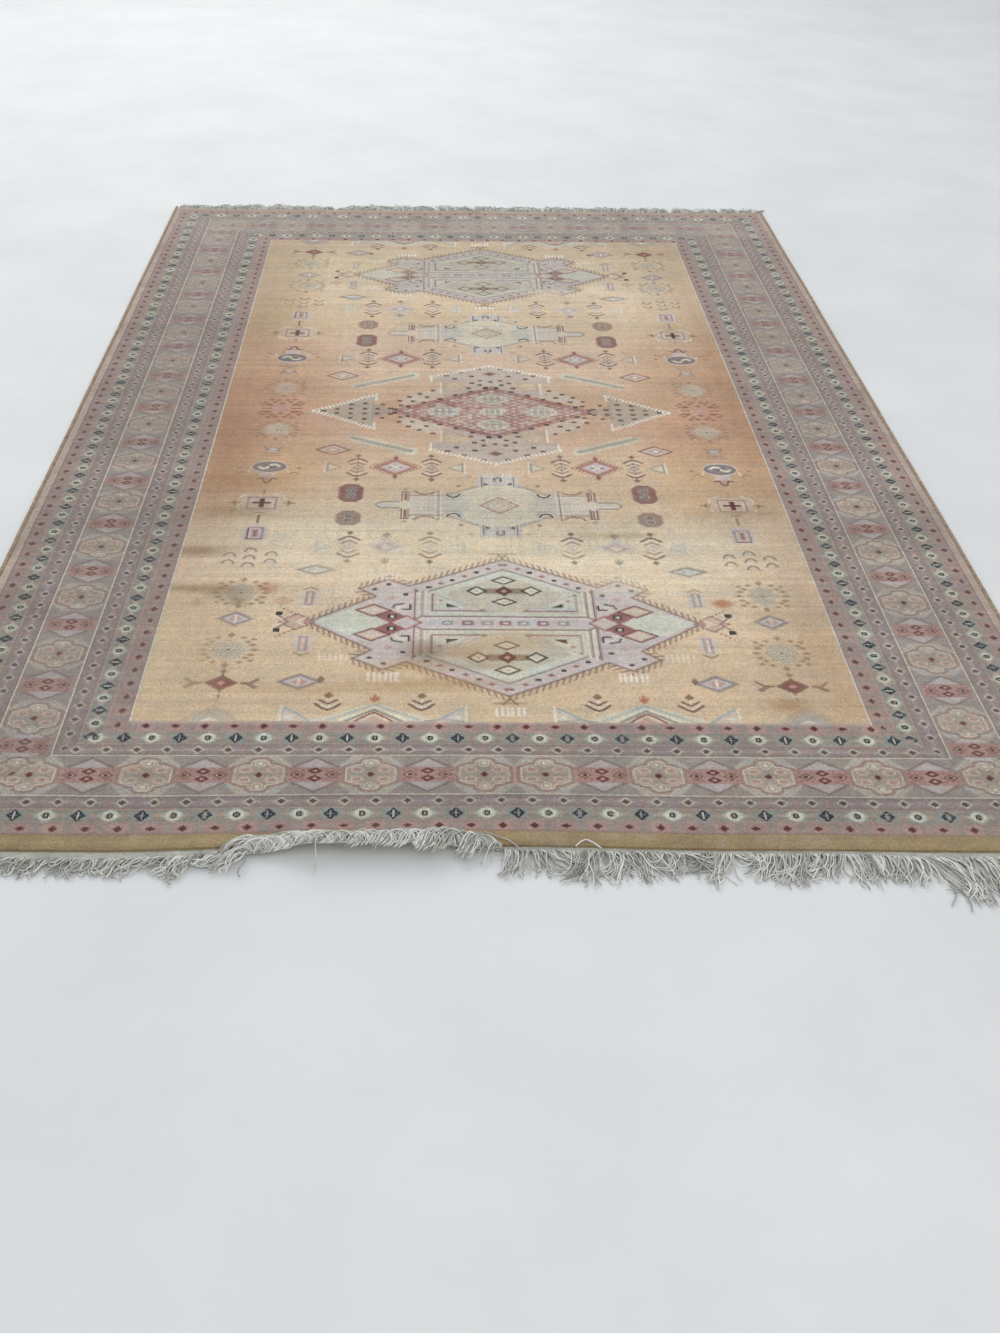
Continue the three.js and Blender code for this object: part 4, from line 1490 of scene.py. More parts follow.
def map_strands(piece: Piece, count: int, stops: int, sides: int) -> None:
    """Give yarns a map of their own strips, and one that runs along and round each yarn."""
    columns = max(1, round(math.sqrt(count * 3)))
    rows = math.ceil(count / columns)
    spans = stops - 1
    yarn = np.repeat(np.arange(count), spans * sides)
    span = np.tile(np.repeat(np.arange(spans), sides), count)
    part = np.tile(np.arange(sides), count * spans)
    shift_u = np.array([0, 0, 1, 1])
    shift_v = np.array([0, 1, 1, 0])
    u = (part[:, None] + shift_u) / sides
    v = (span[:, None] + shift_v) / spans
    cap_yarn = np.tile(np.arange(count), 2)
    cap_u = np.tile(np.linspace(0.2, 0.8, sides), (2 * count, 1))
    cap_v = np.concatenate([np.zeros((count, sides)), np.ones((count, sides))])
    own = np.concatenate([np.stack([u, v * 8.0], axis=-1).reshape(-1, 2),
                          np.stack([cap_u, cap_v], axis=-1).reshape(-1, 2)])
    bake_u = np.concatenate([
        ((yarn % columns)[:, None] + 0.1 + 0.8 * u).ravel() / columns,
        ((cap_yarn % columns)[:, None] + 0.1 + 0.8 * cap_u).ravel() / columns,
    ])
    bake_v = np.concatenate([
        ((yarn // columns)[:, None] + 0.04 + 0.92 * v).ravel() / rows,
        ((cap_yarn // columns)[:, None] + 0.04 + 0.92 * cap_v).ravel() / rows,
    ])
    add_map(piece, "yarn", own)
    add_map(piece, "OFBake", np.stack([bake_u, bake_v], axis=1) * 0.98 + 0.01)
    tones = np.random.default_rng(SEED + count).uniform(0.0, 1.0, count)
    tone_faces(piece, tones[np.concatenate([yarn, cap_yarn])])


# ---------------------------------------------------------------------------------------------
# Finishes
# ---------------------------------------------------------------------------------------------


class NodeDesk:
    """A material's nodes, wired one after another."""

    def __init__(self, name: str) -> None:
        """Start a material with one shader on its output."""
        self.material = bpy.data.materials.new(name)
        self.material.use_nodes = True
        self.tree = self.material.node_tree
        self.tree.nodes.clear()
        self.output = self.tree.nodes.new("ShaderNodeOutputMaterial")
        self.shader = self.tree.nodes.new("ShaderNodeBsdfPrincipled")
        self.wire(self.shader.outputs[0], self.output.inputs["Surface"])
        self.place = self.tree.nodes.new("ShaderNodeTexCoord").outputs["Object"]

    def wire(self, out: Socket, into: Socket) -> None:
        """Join two sockets."""
        self.tree.links.new(out, into)

    def node(self, kind: str, **values: object) -> bpy.types.Node:
        """Add a node and set its own properties."""
        made = self.tree.nodes.new(kind)
        for key, value in values.items():
            setattr(made, key, value)
        return made

    def read(self, name: str, socket: str) -> Socket:
        """Read an attribute of the piece."""
        return self.node("ShaderNodeAttribute", attribute_name=name).outputs[socket]

    def stretched(
        self, scale: tuple[float, float, float], source: Socket | None = None
    ) -> Socket:
        """Object coordinates, or another source, scaled on each axis."""
        made = self.node("ShaderNodeMapping")
        made.inputs["Scale"].default_value = scale
        self.wire(source or self.place, made.inputs["Vector"])
        return made.outputs[0]

    def noise(self, scale: tuple[float, float, float], detail: float, rough: float) -> Socket:
        """A noise value over the object, scaled on each axis."""
        place = self.stretched(scale)
        made = self.node("ShaderNodeTexNoise")
        made.inputs["Scale"].default_value = 1.0
        made.inputs["Detail"].default_value = detail
        made.inputs["Roughness"].default_value = rough
        self.wire(place, made.inputs["Vector"])
        return made.outputs["Fac"]

    def wave(
        self, direction: str, scale: float, distortion: float, place: Socket | None = None
    ) -> bpy.types.Node:
        """A wave over the object, or over another place."""
        made = self.node("ShaderNodeTexWave", bands_direction=direction)
        made.inputs["Scale"].default_value = scale
        made.inputs["Distortion"].default_value = distortion
        self.wire(place or self.place, made.inputs["Vector"])
        return made

    def paint(self, colour: Socket) -> None:
        """Give the shader its colour."""
        self.wire(colour, self.shader.inputs["Base Color"])

    def spread(
        self, value: Socket, low: float, high: float, to_low: float, to_high: float
    ) -> Socket:
        """Map a value from one range to another, held at its ends."""
        made = self.node("ShaderNodeMapRange")
        made.inputs["From Min"].default_value = low
        made.inputs["From Max"].default_value = high
        made.inputs["To Min"].default_value = to_low
        made.inputs["To Max"].default_value = to_high
        self.wire(value, made.inputs["Value"])
        return made.outputs[0]

    def maths(self, kind: str, one: Socket, two: Socket | float) -> Socket:
        """Join two values by an operation such as ADD."""
        made = self.node("ShaderNodeMath", operation=kind)
        self.wire(one, made.inputs[0])
        if isinstance(two, (int, float)):
            made.inputs[1].default_value = two
        else:
            self.wire(two, made.inputs[1])
        return made.outputs[0]

    def shade(self, colour: Socket, value: Socket) -> Socket:
        """Make a colour lighter or darker by a value."""
        made = self.node("ShaderNodeVectorMath", operation="SCALE")
        self.wire(colour, made.inputs[0])
        self.wire(value, made.inputs["Scale"])
        return made.outputs[0]

    def blend(self, amount: Socket | float, one: Socket | str, two: Socket | str) -> Socket:
        """Mix two colours, each a socket or a #RRGGBB code."""
        made = self.node("ShaderNodeMix", data_type="RGBA")
        if isinstance(amount, float):
            made.inputs["Factor"].default_value = amount
        else:
            self.wire(amount, made.inputs["Factor"])
        for socket, colour in ((made.inputs[6], one), (made.inputs[7], two)):
            if isinstance(colour, str):
                socket.default_value = (*linear(colour), 1.0)
            else:
                self.wire(colour, socket)
        return made.outputs[2]

    def bump(self, height: Socket, distance: float, strength: float) -> None:
        """Raise the surface by a height."""
        made = self.node("ShaderNodeBump")
        made.inputs["Distance"].default_value = distance
        made.inputs["Strength"].default_value = strength
        self.wire(height, made.inputs["Height"])
        self.wire(made.outputs[0], self.shader.inputs["Normal"])

    def cloth(self, roughness: float, sheen: float, sheen_tint: str) -> None:
        """Set the shader's own values for a fibre."""
        self.shader.inputs["Roughness"].default_value = roughness
        self.shader.inputs["Specular IOR Level"].default_value = 0.18
        self.shader.inputs["Sheen Weight"].default_value = sheen
        self.shader.inputs["Sheen Roughness"].default_value = 0.45
        self.shader.inputs["Sheen Tint"].default_value = (*linear(sheen_tint), 1.0)


@dataclass(frozen=True)
class PileFinish:
    """Cut wool pile: knots from the chart, streaks along the wefts, wear and soft tufts."""

    name: str
    sheen: float = 0.16
    streaks: float = 0.10
    wear: float = 0.05

    def make(self) -> Material:
        """Build the material."""
        desk = NodeDesk(self.name)
        colour = desk.read("knot_wool", "Color")
        streak = desk.noise((1.6, 75.0, 1.0), 4.0, 0.7)
        colour = desk.shade(colour, desk.spread(streak, 0.3, 0.7, 1 - self.streaks, 1 + self.streaks))
        patch = desk.noise((3.2, 6.0, 1.0), 3.0, 0.6)
        colour = desk.shade(colour, desk.spread(patch, 0.3, 0.7, 0.93, 1.07))
        tuft = desk.noise((420.0, 520.0, 420.0), 2.0, 0.6)
        colour = desk.shade(colour, desk.spread(tuft, 0.25, 0.75, 0.84, 1.16))
        dust = desk.noise((5.0, 11.0, 1.0), 5.0, 0.65)
        colour = desk.blend(desk.spread(dust, 0.45, 0.8, 0.02, self.wear * 2), colour, "#B4A898")
        desk.paint(colour)
        tufts = desk.node("ShaderNodeTexVoronoi")
        tufts.inputs["Scale"].default_value = 1.0
        desk.wire(desk.stretched((360.0, 400.0, 300.0)), tufts.inputs["Vector"])
        fibre = desk.noise((900.0, 900.0, 500.0), 3.0, 0.7)
        height = desk.maths("SUBTRACT", fibre, desk.maths("MULTIPLY", tufts.outputs["Distance"], 0.9))
        desk.bump(height, 0.0011, 0.75)
        desk.cloth(0.93, self.sheen, "#F4EEE4")
        return desk.material


@dataclass(frozen=True)
class BackFinish:
    """The back of the rug: the same knots seen flat and tight between cotton wefts."""

    name: str = "rug_back"

    def make(self) -> Material:
        """Build the material."""
        desk = NodeDesk(self.name)
        colour = desk.read("knot_wool", "Color")
        weft = desk.wave("Y", 128.0, 0.8)
        weft.inputs["Detail"].default_value = 1.0
        warp = desk.wave("X", 108.0, 0.5)
        show = desk.spread(weft.outputs["Fac"], 0.0, 0.35, 0.55, 0.08)
        colour = desk.blend(show, colour, "#BDB8A6")
        grime = desk.noise((4.0, 7.0, 1.0), 5.0, 0.6)
        colour = desk.blend(desk.spread(grime, 0.35, 0.75, 0.05, 0.35), colour, "#A39A8B")
        desk.paint(colour)
        height = desk.maths("MULTIPLY", weft.outputs["Fac"], warp.outputs["Fac"])
        desk.bump(height, 0.0006, 0.7)
        desk.cloth(0.95, 0.12, "#EFEBE0")
        return desk.material


@dataclass(frozen=True)
class CottonFinish:
    """Greyed cotton yarn: plied, uneven in tone and dusty."""

    name: str
    light: str = "#F6F5EF"
    dark: str = "#A3A298"
    ribs: float = 0.0

    def make(self) -> Material:
        """Build the material."""
        desk = NodeDesk(self.name)
        tone = desk.read("yarn_tone", "Fac")
        colour = desk.blend(desk.spread(tone, 0.0, 1.0, 0.0, 1.0), self.dark, self.light)
        grime = desk.noise((30.0, 40.0, 30.0), 4.0, 0.65)
        colour = desk.shade(colour, desk.spread(grime, 0.3, 0.7, 0.82, 1.14))
        fleck = desk.noise((700.0, 700.0, 700.0), 2.0, 0.6)
        colour = desk.shade(colour, desk.spread(fleck, 0.25, 0.75, 0.88, 1.12))
        desk.paint(colour)
        if self.ribs:
            wave, rise, strength = desk.wave("Y", self.ribs, 1.2), 0.0006, 0.7
        else:
            around = desk.node("ShaderNodeUVMap", uv_map="yarn").outputs[0]
            wave = desk.wave("DIAGONAL", 1.6, 0.6, desk.stretched((1.0, 1.0, 1.0), around))
            rise, strength = 0.0004, 0.6
        height = desk.maths("ADD", wave.outputs["Fac"], desk.maths("MULTIPLY", fleck, 0.5))
        desk.bump(height, rise, strength)
        desk.cloth(0.9, 0.2, "#F2F2EE")
        return desk.material


@dataclass(frozen=True)
class WrapFinish:
    """Overcast wool on the selvedges: slanting turns, each a little different in tone."""

    name: str = "selvedge_overcast"

    def make(self) -> Material:
        """Build the material."""
        desk = NodeDesk(self.name)
        tone = desk.read("yarn_tone", "Fac")
        colour = desk.blend(desk.spread(tone, 0.0, 1.0, 0.0, 1.0), "#8D7A66", "#BBA68C")
        patch = desk.noise((8.0, 5.0, 8.0), 4.0, 0.6)
        colour = desk.blend(desk.spread(patch, 0.35, 0.7, 0.0, 0.55), colour, "#A58A7C")
        fleck = desk.noise((800.0, 800.0, 800.0), 2.0, 0.6)
        colour = desk.shade(colour, desk.spread(fleck, 0.25, 0.75, 0.85, 1.15))
        desk.paint(colour)
        desk.bump(fleck, 0.0005, 0.6)
        desk.cloth(0.92, 0.2, "#F4EEE4")
        return desk.material


@dataclass(frozen=True)
class FloorFinish:
    """A plain pale floor with the least mottling."""

    name: str = "pale_floor"
    colour: str = "#EDEEEE"

    def make(self) -> Material:
        """Build the material."""
        desk = NodeDesk(self.name)
        cloud = desk.noise((2.5, 2.5, 1.0), 6.0, 0.6)
        colour = desk.blend(desk.spread(cloud, 0.35, 0.65, 0.0, 1.0), self.colour, "#E5E7E7")
        desk.paint(colour)
        desk.shader.inputs["Roughness"].default_value = 0.55
        desk.shader.inputs["Specular IOR Level"].default_value = 0.3
        return desk.material


# ---------------------------------------------------------------------------------------------
# The rug's sub-assemblies
# ---------------------------------------------------------------------------------------------


class Edge(Enum):
    """An edge of the rug, with the sign of the axis that it lies toward."""

    @property
    def word(self) -> str:
        """The edge's name in piece names."""
        return self.name.lower()


class End(Edge):
    """The two ends of the rug."""

    FRONT = -1
    BACK = 1


class Side(Edge):
    """The two long sides of the rug."""

    LEFT = -1
    RIGHT = 1


def clear_selection() -> None:
    """Leave edit mode and deselect everything."""
    if bpy.context.object and bpy.context.object.mode != "OBJECT":
        bpy.ops.object.mode_set(mode="OBJECT")
    bpy.ops.object.select_all(action="DESELECT")


def dress(piece: Piece, finish: Material, slot: str, *nodes: str) -> Piece:
    """Give a piece its finish and tie it to the CAD model.

    Args:
        piece: the piece.
        finish: its material.
        slot: the record's material slot; not used.
        nodes: the CAD nodes that it stands for.

    Returns:
        The same piece.
    """
    piece.data.materials.clear()
    piece.data.materials.append(finish)
    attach(piece, "root")
    if nodes:
        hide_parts(*nodes)
    return piece


def mesh_points(piece: Piece) -> Array:
    """A piece's points, in its own frame."""
    flat = np.empty(len(piece.data.vertices) * 3, dtype=np.float32)
    piece.data.vertices.foreach_get("co", flat)
    return flat.reshape(-1, 3).astype(float)


def set_points(piece: Piece, points: Array) -> None:
    """Move a piece's points."""
    piece.data.vertices.foreach_set("co", points.astype(np.float32).ravel())
    piece.data.update()


@dataclass
class Pile:
    """The wool pile: the field in columns, and the border bands in strips round it (mm)."""

    base: float = 3.7
    height: float = 6.0
    knot_x: float = 2.9
    knot_y: float = 2.65
    columns: int = 4
    gap: float = 0.12
    pieces: list[Piece] = field(default_factory=list)

    def top(self, x: Array, y: Array) -> Array:
        """The pile's height: uneven from knot to knot, worn low along the outer edges."""
        outer = np.minimum(RING_X[-1] - np.abs(x), RING_Y[-1] - np.abs(y))
        worn = 2.6 * np.exp(-np.maximum(outer, 0.0) / 4.0)
        lie = 0.25 * np.sin(x / 37.0 + np.sin(y / 53.0)) * np.sin(y / 29.0 + 1.0)
        return self.base + self.height - worn + lie + 0.7 * (grain(x, y) - 0.5)

    def strip(
        self, name: str, box: tuple[float, float, float, float], slot: str,
        finish: Material, seed: int, nodes: list[str],
    ) -> None:
        """Build one strip of pile.

        Args:
            name: the piece's name.
            box: x0, x1, y0 and y1 on the flat rug.
            slot: the record's material slot.
            finish: its material.
            seed: the seed of its knots.
            nodes: the CAD nodes that it stands for.
        """
        x0, x1, y0, y1 = box
        sheet = KnottedSheet(
            name, x0, x1, y0, y1,
            self.knot_x, self.knot_y, self.top, self.base,
        )
        piece = dress(sheet.build(seed), finish, slot, *nodes)
        self.pieces.append(piece)
        log.info("%s: %d faces", name, len(piece.data.polygons))

    def build_field(self) -> None:
        """Build the field's columns, side by side."""
        finish = PileFinish("field_pile_wool").make()
        width = FIELD_HALF_WIDTH - self.gap
        stops = np.linspace(-width, width, self.columns + 1)
        for i in range(self.columns):
            length = FIELD_HALF_LENGTH - self.gap
            box = (stops[i], stops[i + 1], -length, length)
            name = f"field_pile_column_{i + 1}"
            self.strip(name, box, "field_wool", finish, SEED + i, ["field_pile"])

    def build_borders(self) -> None:
        """Build the border in three rings, each of two side strips and two end strips."""
        rings = (
            ("inner_guards", 0, 3, "rose_wool"),
            ("main_border_pile", 3, 4, "border_wool"),
            ("outer_guards", 4, 8, "mauve_wool"),
        )
        for number, (word, first, last, slot) in enumerate(rings):
            finish = PileFinish(f"{word}_wool").make()
            in_x, out_x = RING_X[first], RING_X[last]
            in_y, out_y = RING_Y[first], RING_Y[last]
            names = [band.name for band in BANDS[first:last]]
            seed = SEED + 20 + 4 * number
            for k, side in enumerate(Side):
                x0, x1 = sorted((side.value * in_x, side.value * out_x))
                nodes = [f"{name}_{side.word}" for name in names]
                box = (x0 + self.gap, x1 - self.gap, -out_y, out_y)
                self.strip(f"{word}_{side.word}", box, slot, finish, seed + k, nodes)
            for k, end in enumerate(End):
                y0, y1 = sorted((end.value * in_y, end.value * out_y))
                nodes = [f"{name}_{end.word}" for name in names]
                box = (-in_x, in_x, y0 + self.gap, y1 - self.gap)
                self.strip(f"{word}_{end.word}", box, slot, finish, seed + 2 + k, nodes)


@dataclass
class Foundation:
    """The cotton warps and wefts, whose back shows the design in coarse cells (mm)."""

    thickness: float = 3.4
    cell: float = 9.5
    clearance: float = 0.15

    def build(self) -> Piece:
        """Build the cloth that everything else is knotted or sewn to."""

        def back(x: Array, y: Array) -> Array:
            """The flat back, a hair above the floor."""
            return np.full(x.shape, self.clearance)

        sheet = KnottedSheet(
            "cotton_foundation", -RING_X[-1], RING_X[-1], -RING_Y[-1] - 1, RING_Y[-1] + 1,
            self.cell, self.cell, back, self.thickness, fine_up=False,
        )
        piece = sheet.build(SEED + 90)
        finish = BackFinish().make()
        return dress(piece, finish, "cotton_foundation", "warp_foundation", "weft_foundation")


@dataclass
class Selvedge:
    """One long side's bundle of warps and the wool overcast round it (mm)."""

    side: Side
    core_radius: float = 2.4
    turn_pitch: float = 3.1
    rings_per_turn: int = 3
    sides: int = 10
    map_folds: int = 40
    core_cuts: int = 90

    def frame_of(self) -> tuple[float, float, float]:
        """The wrap's middle across the rug, its radius and half its length, from the CAD."""
        low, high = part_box(f"selvedge_wrap_{self.side.word}")
        return (low.x + high.x) / 2 / MM, (high.x - low.x) / 2 / MM, high.y / MM

    def build_wrap(self, finish: Material) -> Piece:
        """Build the overcast wool with a ridge for each slanting turn."""
        middle, radius, half = self.frame_of()
        turns = int(2 * half / self.turn_pitch)
        rings = turns * self.rings_per_turn + 1
        rng = np.random.default_rng(SEED + 200 + self.side.value)
        y = np.linspace(-half, half, rings)
        angle = np.arange(self.sides) * 2 * math.pi / self.sides
        phase = y[:, None] / self.turn_pitch * 2 * math.pi + angle[None, :] * self.side.value
        swell = np.interp(y, np.linspace(-half, half, turns), rng.uniform(-0.25, 0.2, turns))
        size = radius - 0.3 + 0.3 * np.cos(phase) + swell[:, None]
        points = np.stack([
            middle + size * np.cos(angle), np.broadcast_to(y[:, None], size.shape),
            radius + 0.1 + size * np.sin(angle) * 0.96,
        ], axis=-1)
        at = np.arange(rings - 1)[:, None] * self.sides + np.arange(self.sides)[None, :]
        beside = np.arange(rings - 1)[:, None] * self.sides + (np.arange(self.sides) + 1) % self.sides
        quads = np.stack([at, beside, beside + self.sides, at + self.sides], axis=-1)[:, :, ::-1]
        faces = quads.reshape(-1, 4).tolist()
        faces.append(list(range(self.sides)))
        faces.append([(rings - 1) * self.sides + k for k in reversed(range(self.sides))])
        name = f"selvedge_overcast_{self.side.word}"
        piece = new_piece(name, LAY.place(points.reshape(-1, 3)), faces)
        smooth_faces(piece)
        self.map_wrap(piece, rings, turns, rng)
        return dress(piece, finish, "selvedge_wool", f"selvedge_wrap_{self.side.word}")

    def map_wrap(self, piece: Piece, rings: int, turns: int, rng: np.random.Generator) -> None:
        """Fold the long wrap into rows on its map, and give each turn its own tone."""
        sides, spans, folds = self.sides, rings - 1, self.map_folds
        span = np.repeat(np.arange(spans), sides)
        part = np.tile(np.arange(sides), spans)
        per_fold = math.ceil(spans / folds)
        fold = span // per_fold
        along_v = (span % per_fold)[:, None] + np.array([0, 0, 1, 1])[::-1]
        around = (part[:, None] + np.array([0, 1, 1, 0])[::-1]) / sides
        u = (fold[:, None] + 0.06 + 0.88 * around) / (folds + 1)
        v = 0.01 + 0.97 * along_v / per_fold
        caps = np.stack([np.linspace(0.98, 0.99, 2 * sides), np.full(2 * sides, 0.5)], axis=1)
        add_map(piece, "OFBake", np.concatenate([np.stack([u, v], axis=-1).reshape(-1, 2), caps]))
        tones = rng.uniform(0.0, 1.0, turns + 3)
        turn = (span / self.rings_per_turn + part / sides * self.side.value + 1).astype(int)
        tone_faces(piece, np.concatenate([tones[np.clip(turn, 0, turns + 2)], [0.5, 0.5]]))

    def build_core(self, finish: Material) -> Piece:
        """Build the bundle of warps inside the wrap, from a round bar cut into short spans."""
        middle, radius, half = self.frame_of()
        clear_selection()
        bpy.ops.mesh.primitive_cylinder_add(
            vertices=8, radius=self.core_radius * MM, depth=2 * (half - 2) * MM,
            location=(middle * MM, 0, (radius + 0.1) * MM), rotation=(math.pi / 2, 0, 0),
        )
        piece = bpy.context.object
        piece.name = piece.data.name = f"selvedge_bundle_{self.side.word}"
        bpy.ops.object.mode_set(mode="EDIT")
        bpy.ops.mesh.select_mode(type="EDGE")
        bpy.ops.mesh.select_all(action="DESELECT")
        bpy.ops.object.mode_set(mode="OBJECT")
        for edge in piece.data.edges:
            one, two = (piece.data.vertices[k].co for k in edge.vertices)
            edge.select = abs(one.z - two.z) > 0.1
        bpy.ops.object.mode_set(mode="EDIT")
        bpy.ops.mesh.subdivide(number_cuts=self.core_cuts)
        bpy.ops.mesh.select_mode(type="VERT")
        bpy.ops.object.mode_set(mode="OBJECT")
        bpy.ops.object.transform_apply(location=True, rotation=True, scale=True)
        set_points(piece, LAY.place(mesh_points(piece) / MM))
        uneven(piece, SEED + 300 + self.side.value)
        return dress(piece, finish, "cotton_foundation", f"selvedge_core_{self.side.word}")


def woven_reach(end: End, x: Array) -> Array:
    """How far the flat weave shows past the pile: wider at the front end's left and right."""
    if end is End.BACK:
        return np.full(x.shape, 7.0)
    left = smooth((-330.0 - x) / 70.0)
    right = smooth((x - 520.0) / 80.0)
    return 5.5 + 7.0 * left + 3.5 * right


@dataclass
class WovenEnd:
    """One end's flat-woven strip and the row of knots that locks it (mm)."""

    end: End
    strip_width: float = 12.6
    strip_thickness: float = 2.6
    knot_pitch: float = 4.6
    ribs: int = 8

    def build_strip(self, finish: Material) -> Piece:
        """Build the flat weave: a fine grid, thickened, with a rib for each weft."""
        y0 = RING_Y[-1] + 0.2
        clear_selection()
        bpy.ops.mesh.primitive_grid_add(
            x_subdivisions=420, y_subdivisions=32, size=1.0,
            location=(0, self.end.value * (y0 + self.strip_width / 2) * MM, 0.2 * MM),
        )
        piece = bpy.context.object
        piece.name = piece.data.name = f"flat_weave_{self.end.word}"
        piece.scale = (2 * RING_X[-1] * MM, self.strip_width * MM, 1.0)
        bpy.ops.object.transform_apply(location=True, rotation=False, scale=True)
        bpy.ops.object.mode_set(mode="EDIT")
        bpy.ops.mesh.select_all(action="SELECT")
        bpy.ops.mesh.extrude_region_move(
            TRANSFORM_OT_translate={"value": (0, 0, self.strip_thickness * MM)}
        )
        bpy.ops.mesh.select_all(action="SELECT")
        bpy.ops.mesh.normals_make_consistent(inside=False)
        bpy.ops.object.mode_set(mode="OBJECT")
        points = mesh_points(piece) / MM
        rng = np.random.default_rng(SEED + 400 + self.end.value)
        top = points[:, 2] > self.strip_thickness * 0.6
        across = (np.abs(points[:, 1]) - y0) / self.strip_width
        weave = np.cos(across * self.ribs * 2 * math.pi + 0.7 * np.sin(points[:, 0] / 9.0))
        over = 0.25 * np.cos(points[:, 0] * 2 * math.pi / 8.7)
        points[:, 2] += top * (0.35 * weave + over + rng.normal(size=len(points)) * 0.08)
        wave = 1.1 * np.sin(points[:, 0] / 47.0) + 0.8 * np.sin(points[:, 0] / 19.0 + 1.0)
        reach = woven_reach(self.end, points[:, 0]) + 0.6 * wave
        points[:, 1] = self.end.value * (y0 + across * reach)
        set_points(piece, LAY.place(points))
        smooth_faces(piece)
        uneven(piece, SEED + 410 + self.end.value)
        return dress(piece, finish, "cotton_foundation", f"kilim_end_{self.end.word}")

    def build_knots(self, finish: Material) -> Piece:
        """Build the row of knots: one is shaped, and the rest are copies of it."""
        clear_selection()
        bpy.ops.mesh.primitive_uv_sphere_add(segments=8, ring_count=5, radius=1.0, location=(0, 0, 0))
        bead = bpy.context.object
        bpy.ops.object.mode_set(mode="EDIT")
        bpy.ops.mesh.select_all(action="SELECT")
        bpy.ops.transform.resize(value=(2.5, 2.2, 2.0))
        bpy.ops.object.mode_set(mode="OBJECT")
        shape = mesh_points(bead)
        faces = [list(face.vertices) for face in bead.data.polygons]
        bpy.data.objects.remove(bead, do_unlink=True)
        count = int((2 * RING_X[-1] - 4) / self.knot_pitch)
        rng = np.random.default_rng(SEED + 420 + self.end.value)
        xs = np.linspace(-RING_X[-1] + 3, RING_X[-1] - 3, count) + rng.normal(size=count) * 0.5
        ys = RING_Y[-1] + woven_reach(self.end, xs) + 1.0
        parts, all_faces = [], []
        for k in range(count):
            turn = rng.normal() * 0.5
            c, s = math.cos(turn), math.sin(turn)
            spin = np.array([[c, -s, 0], [s, c, 0], [0, 0, 1]])
            grown = shape @ spin.T * rng.uniform(0.85, 1.15)
            wave = 1.1 * math.sin(xs[k] / 47.0) + 0.8 * math.sin(xs[k] / 19.0 + 1.0)
            y = self.end.value * (ys[k] + 0.6 * wave + rng.normal() * 0.5)
            parts.append(grown + np.array([xs[k], y, 2.3]))
            all_faces += [[corner + k * len(shape) for corner in face] for face in faces]
        piece = new_piece(f"locking_knots_{self.end.word}", LAY.place(np.concatenate(parts)), all_faces)
        smooth_faces(piece)
        tone_faces(piece, np.repeat(rng.uniform(0.2, 1.0, count), len(faces)))
        return dress(piece, finish, "fringe_cotton", f"end_knot_row_{self.end.word}")


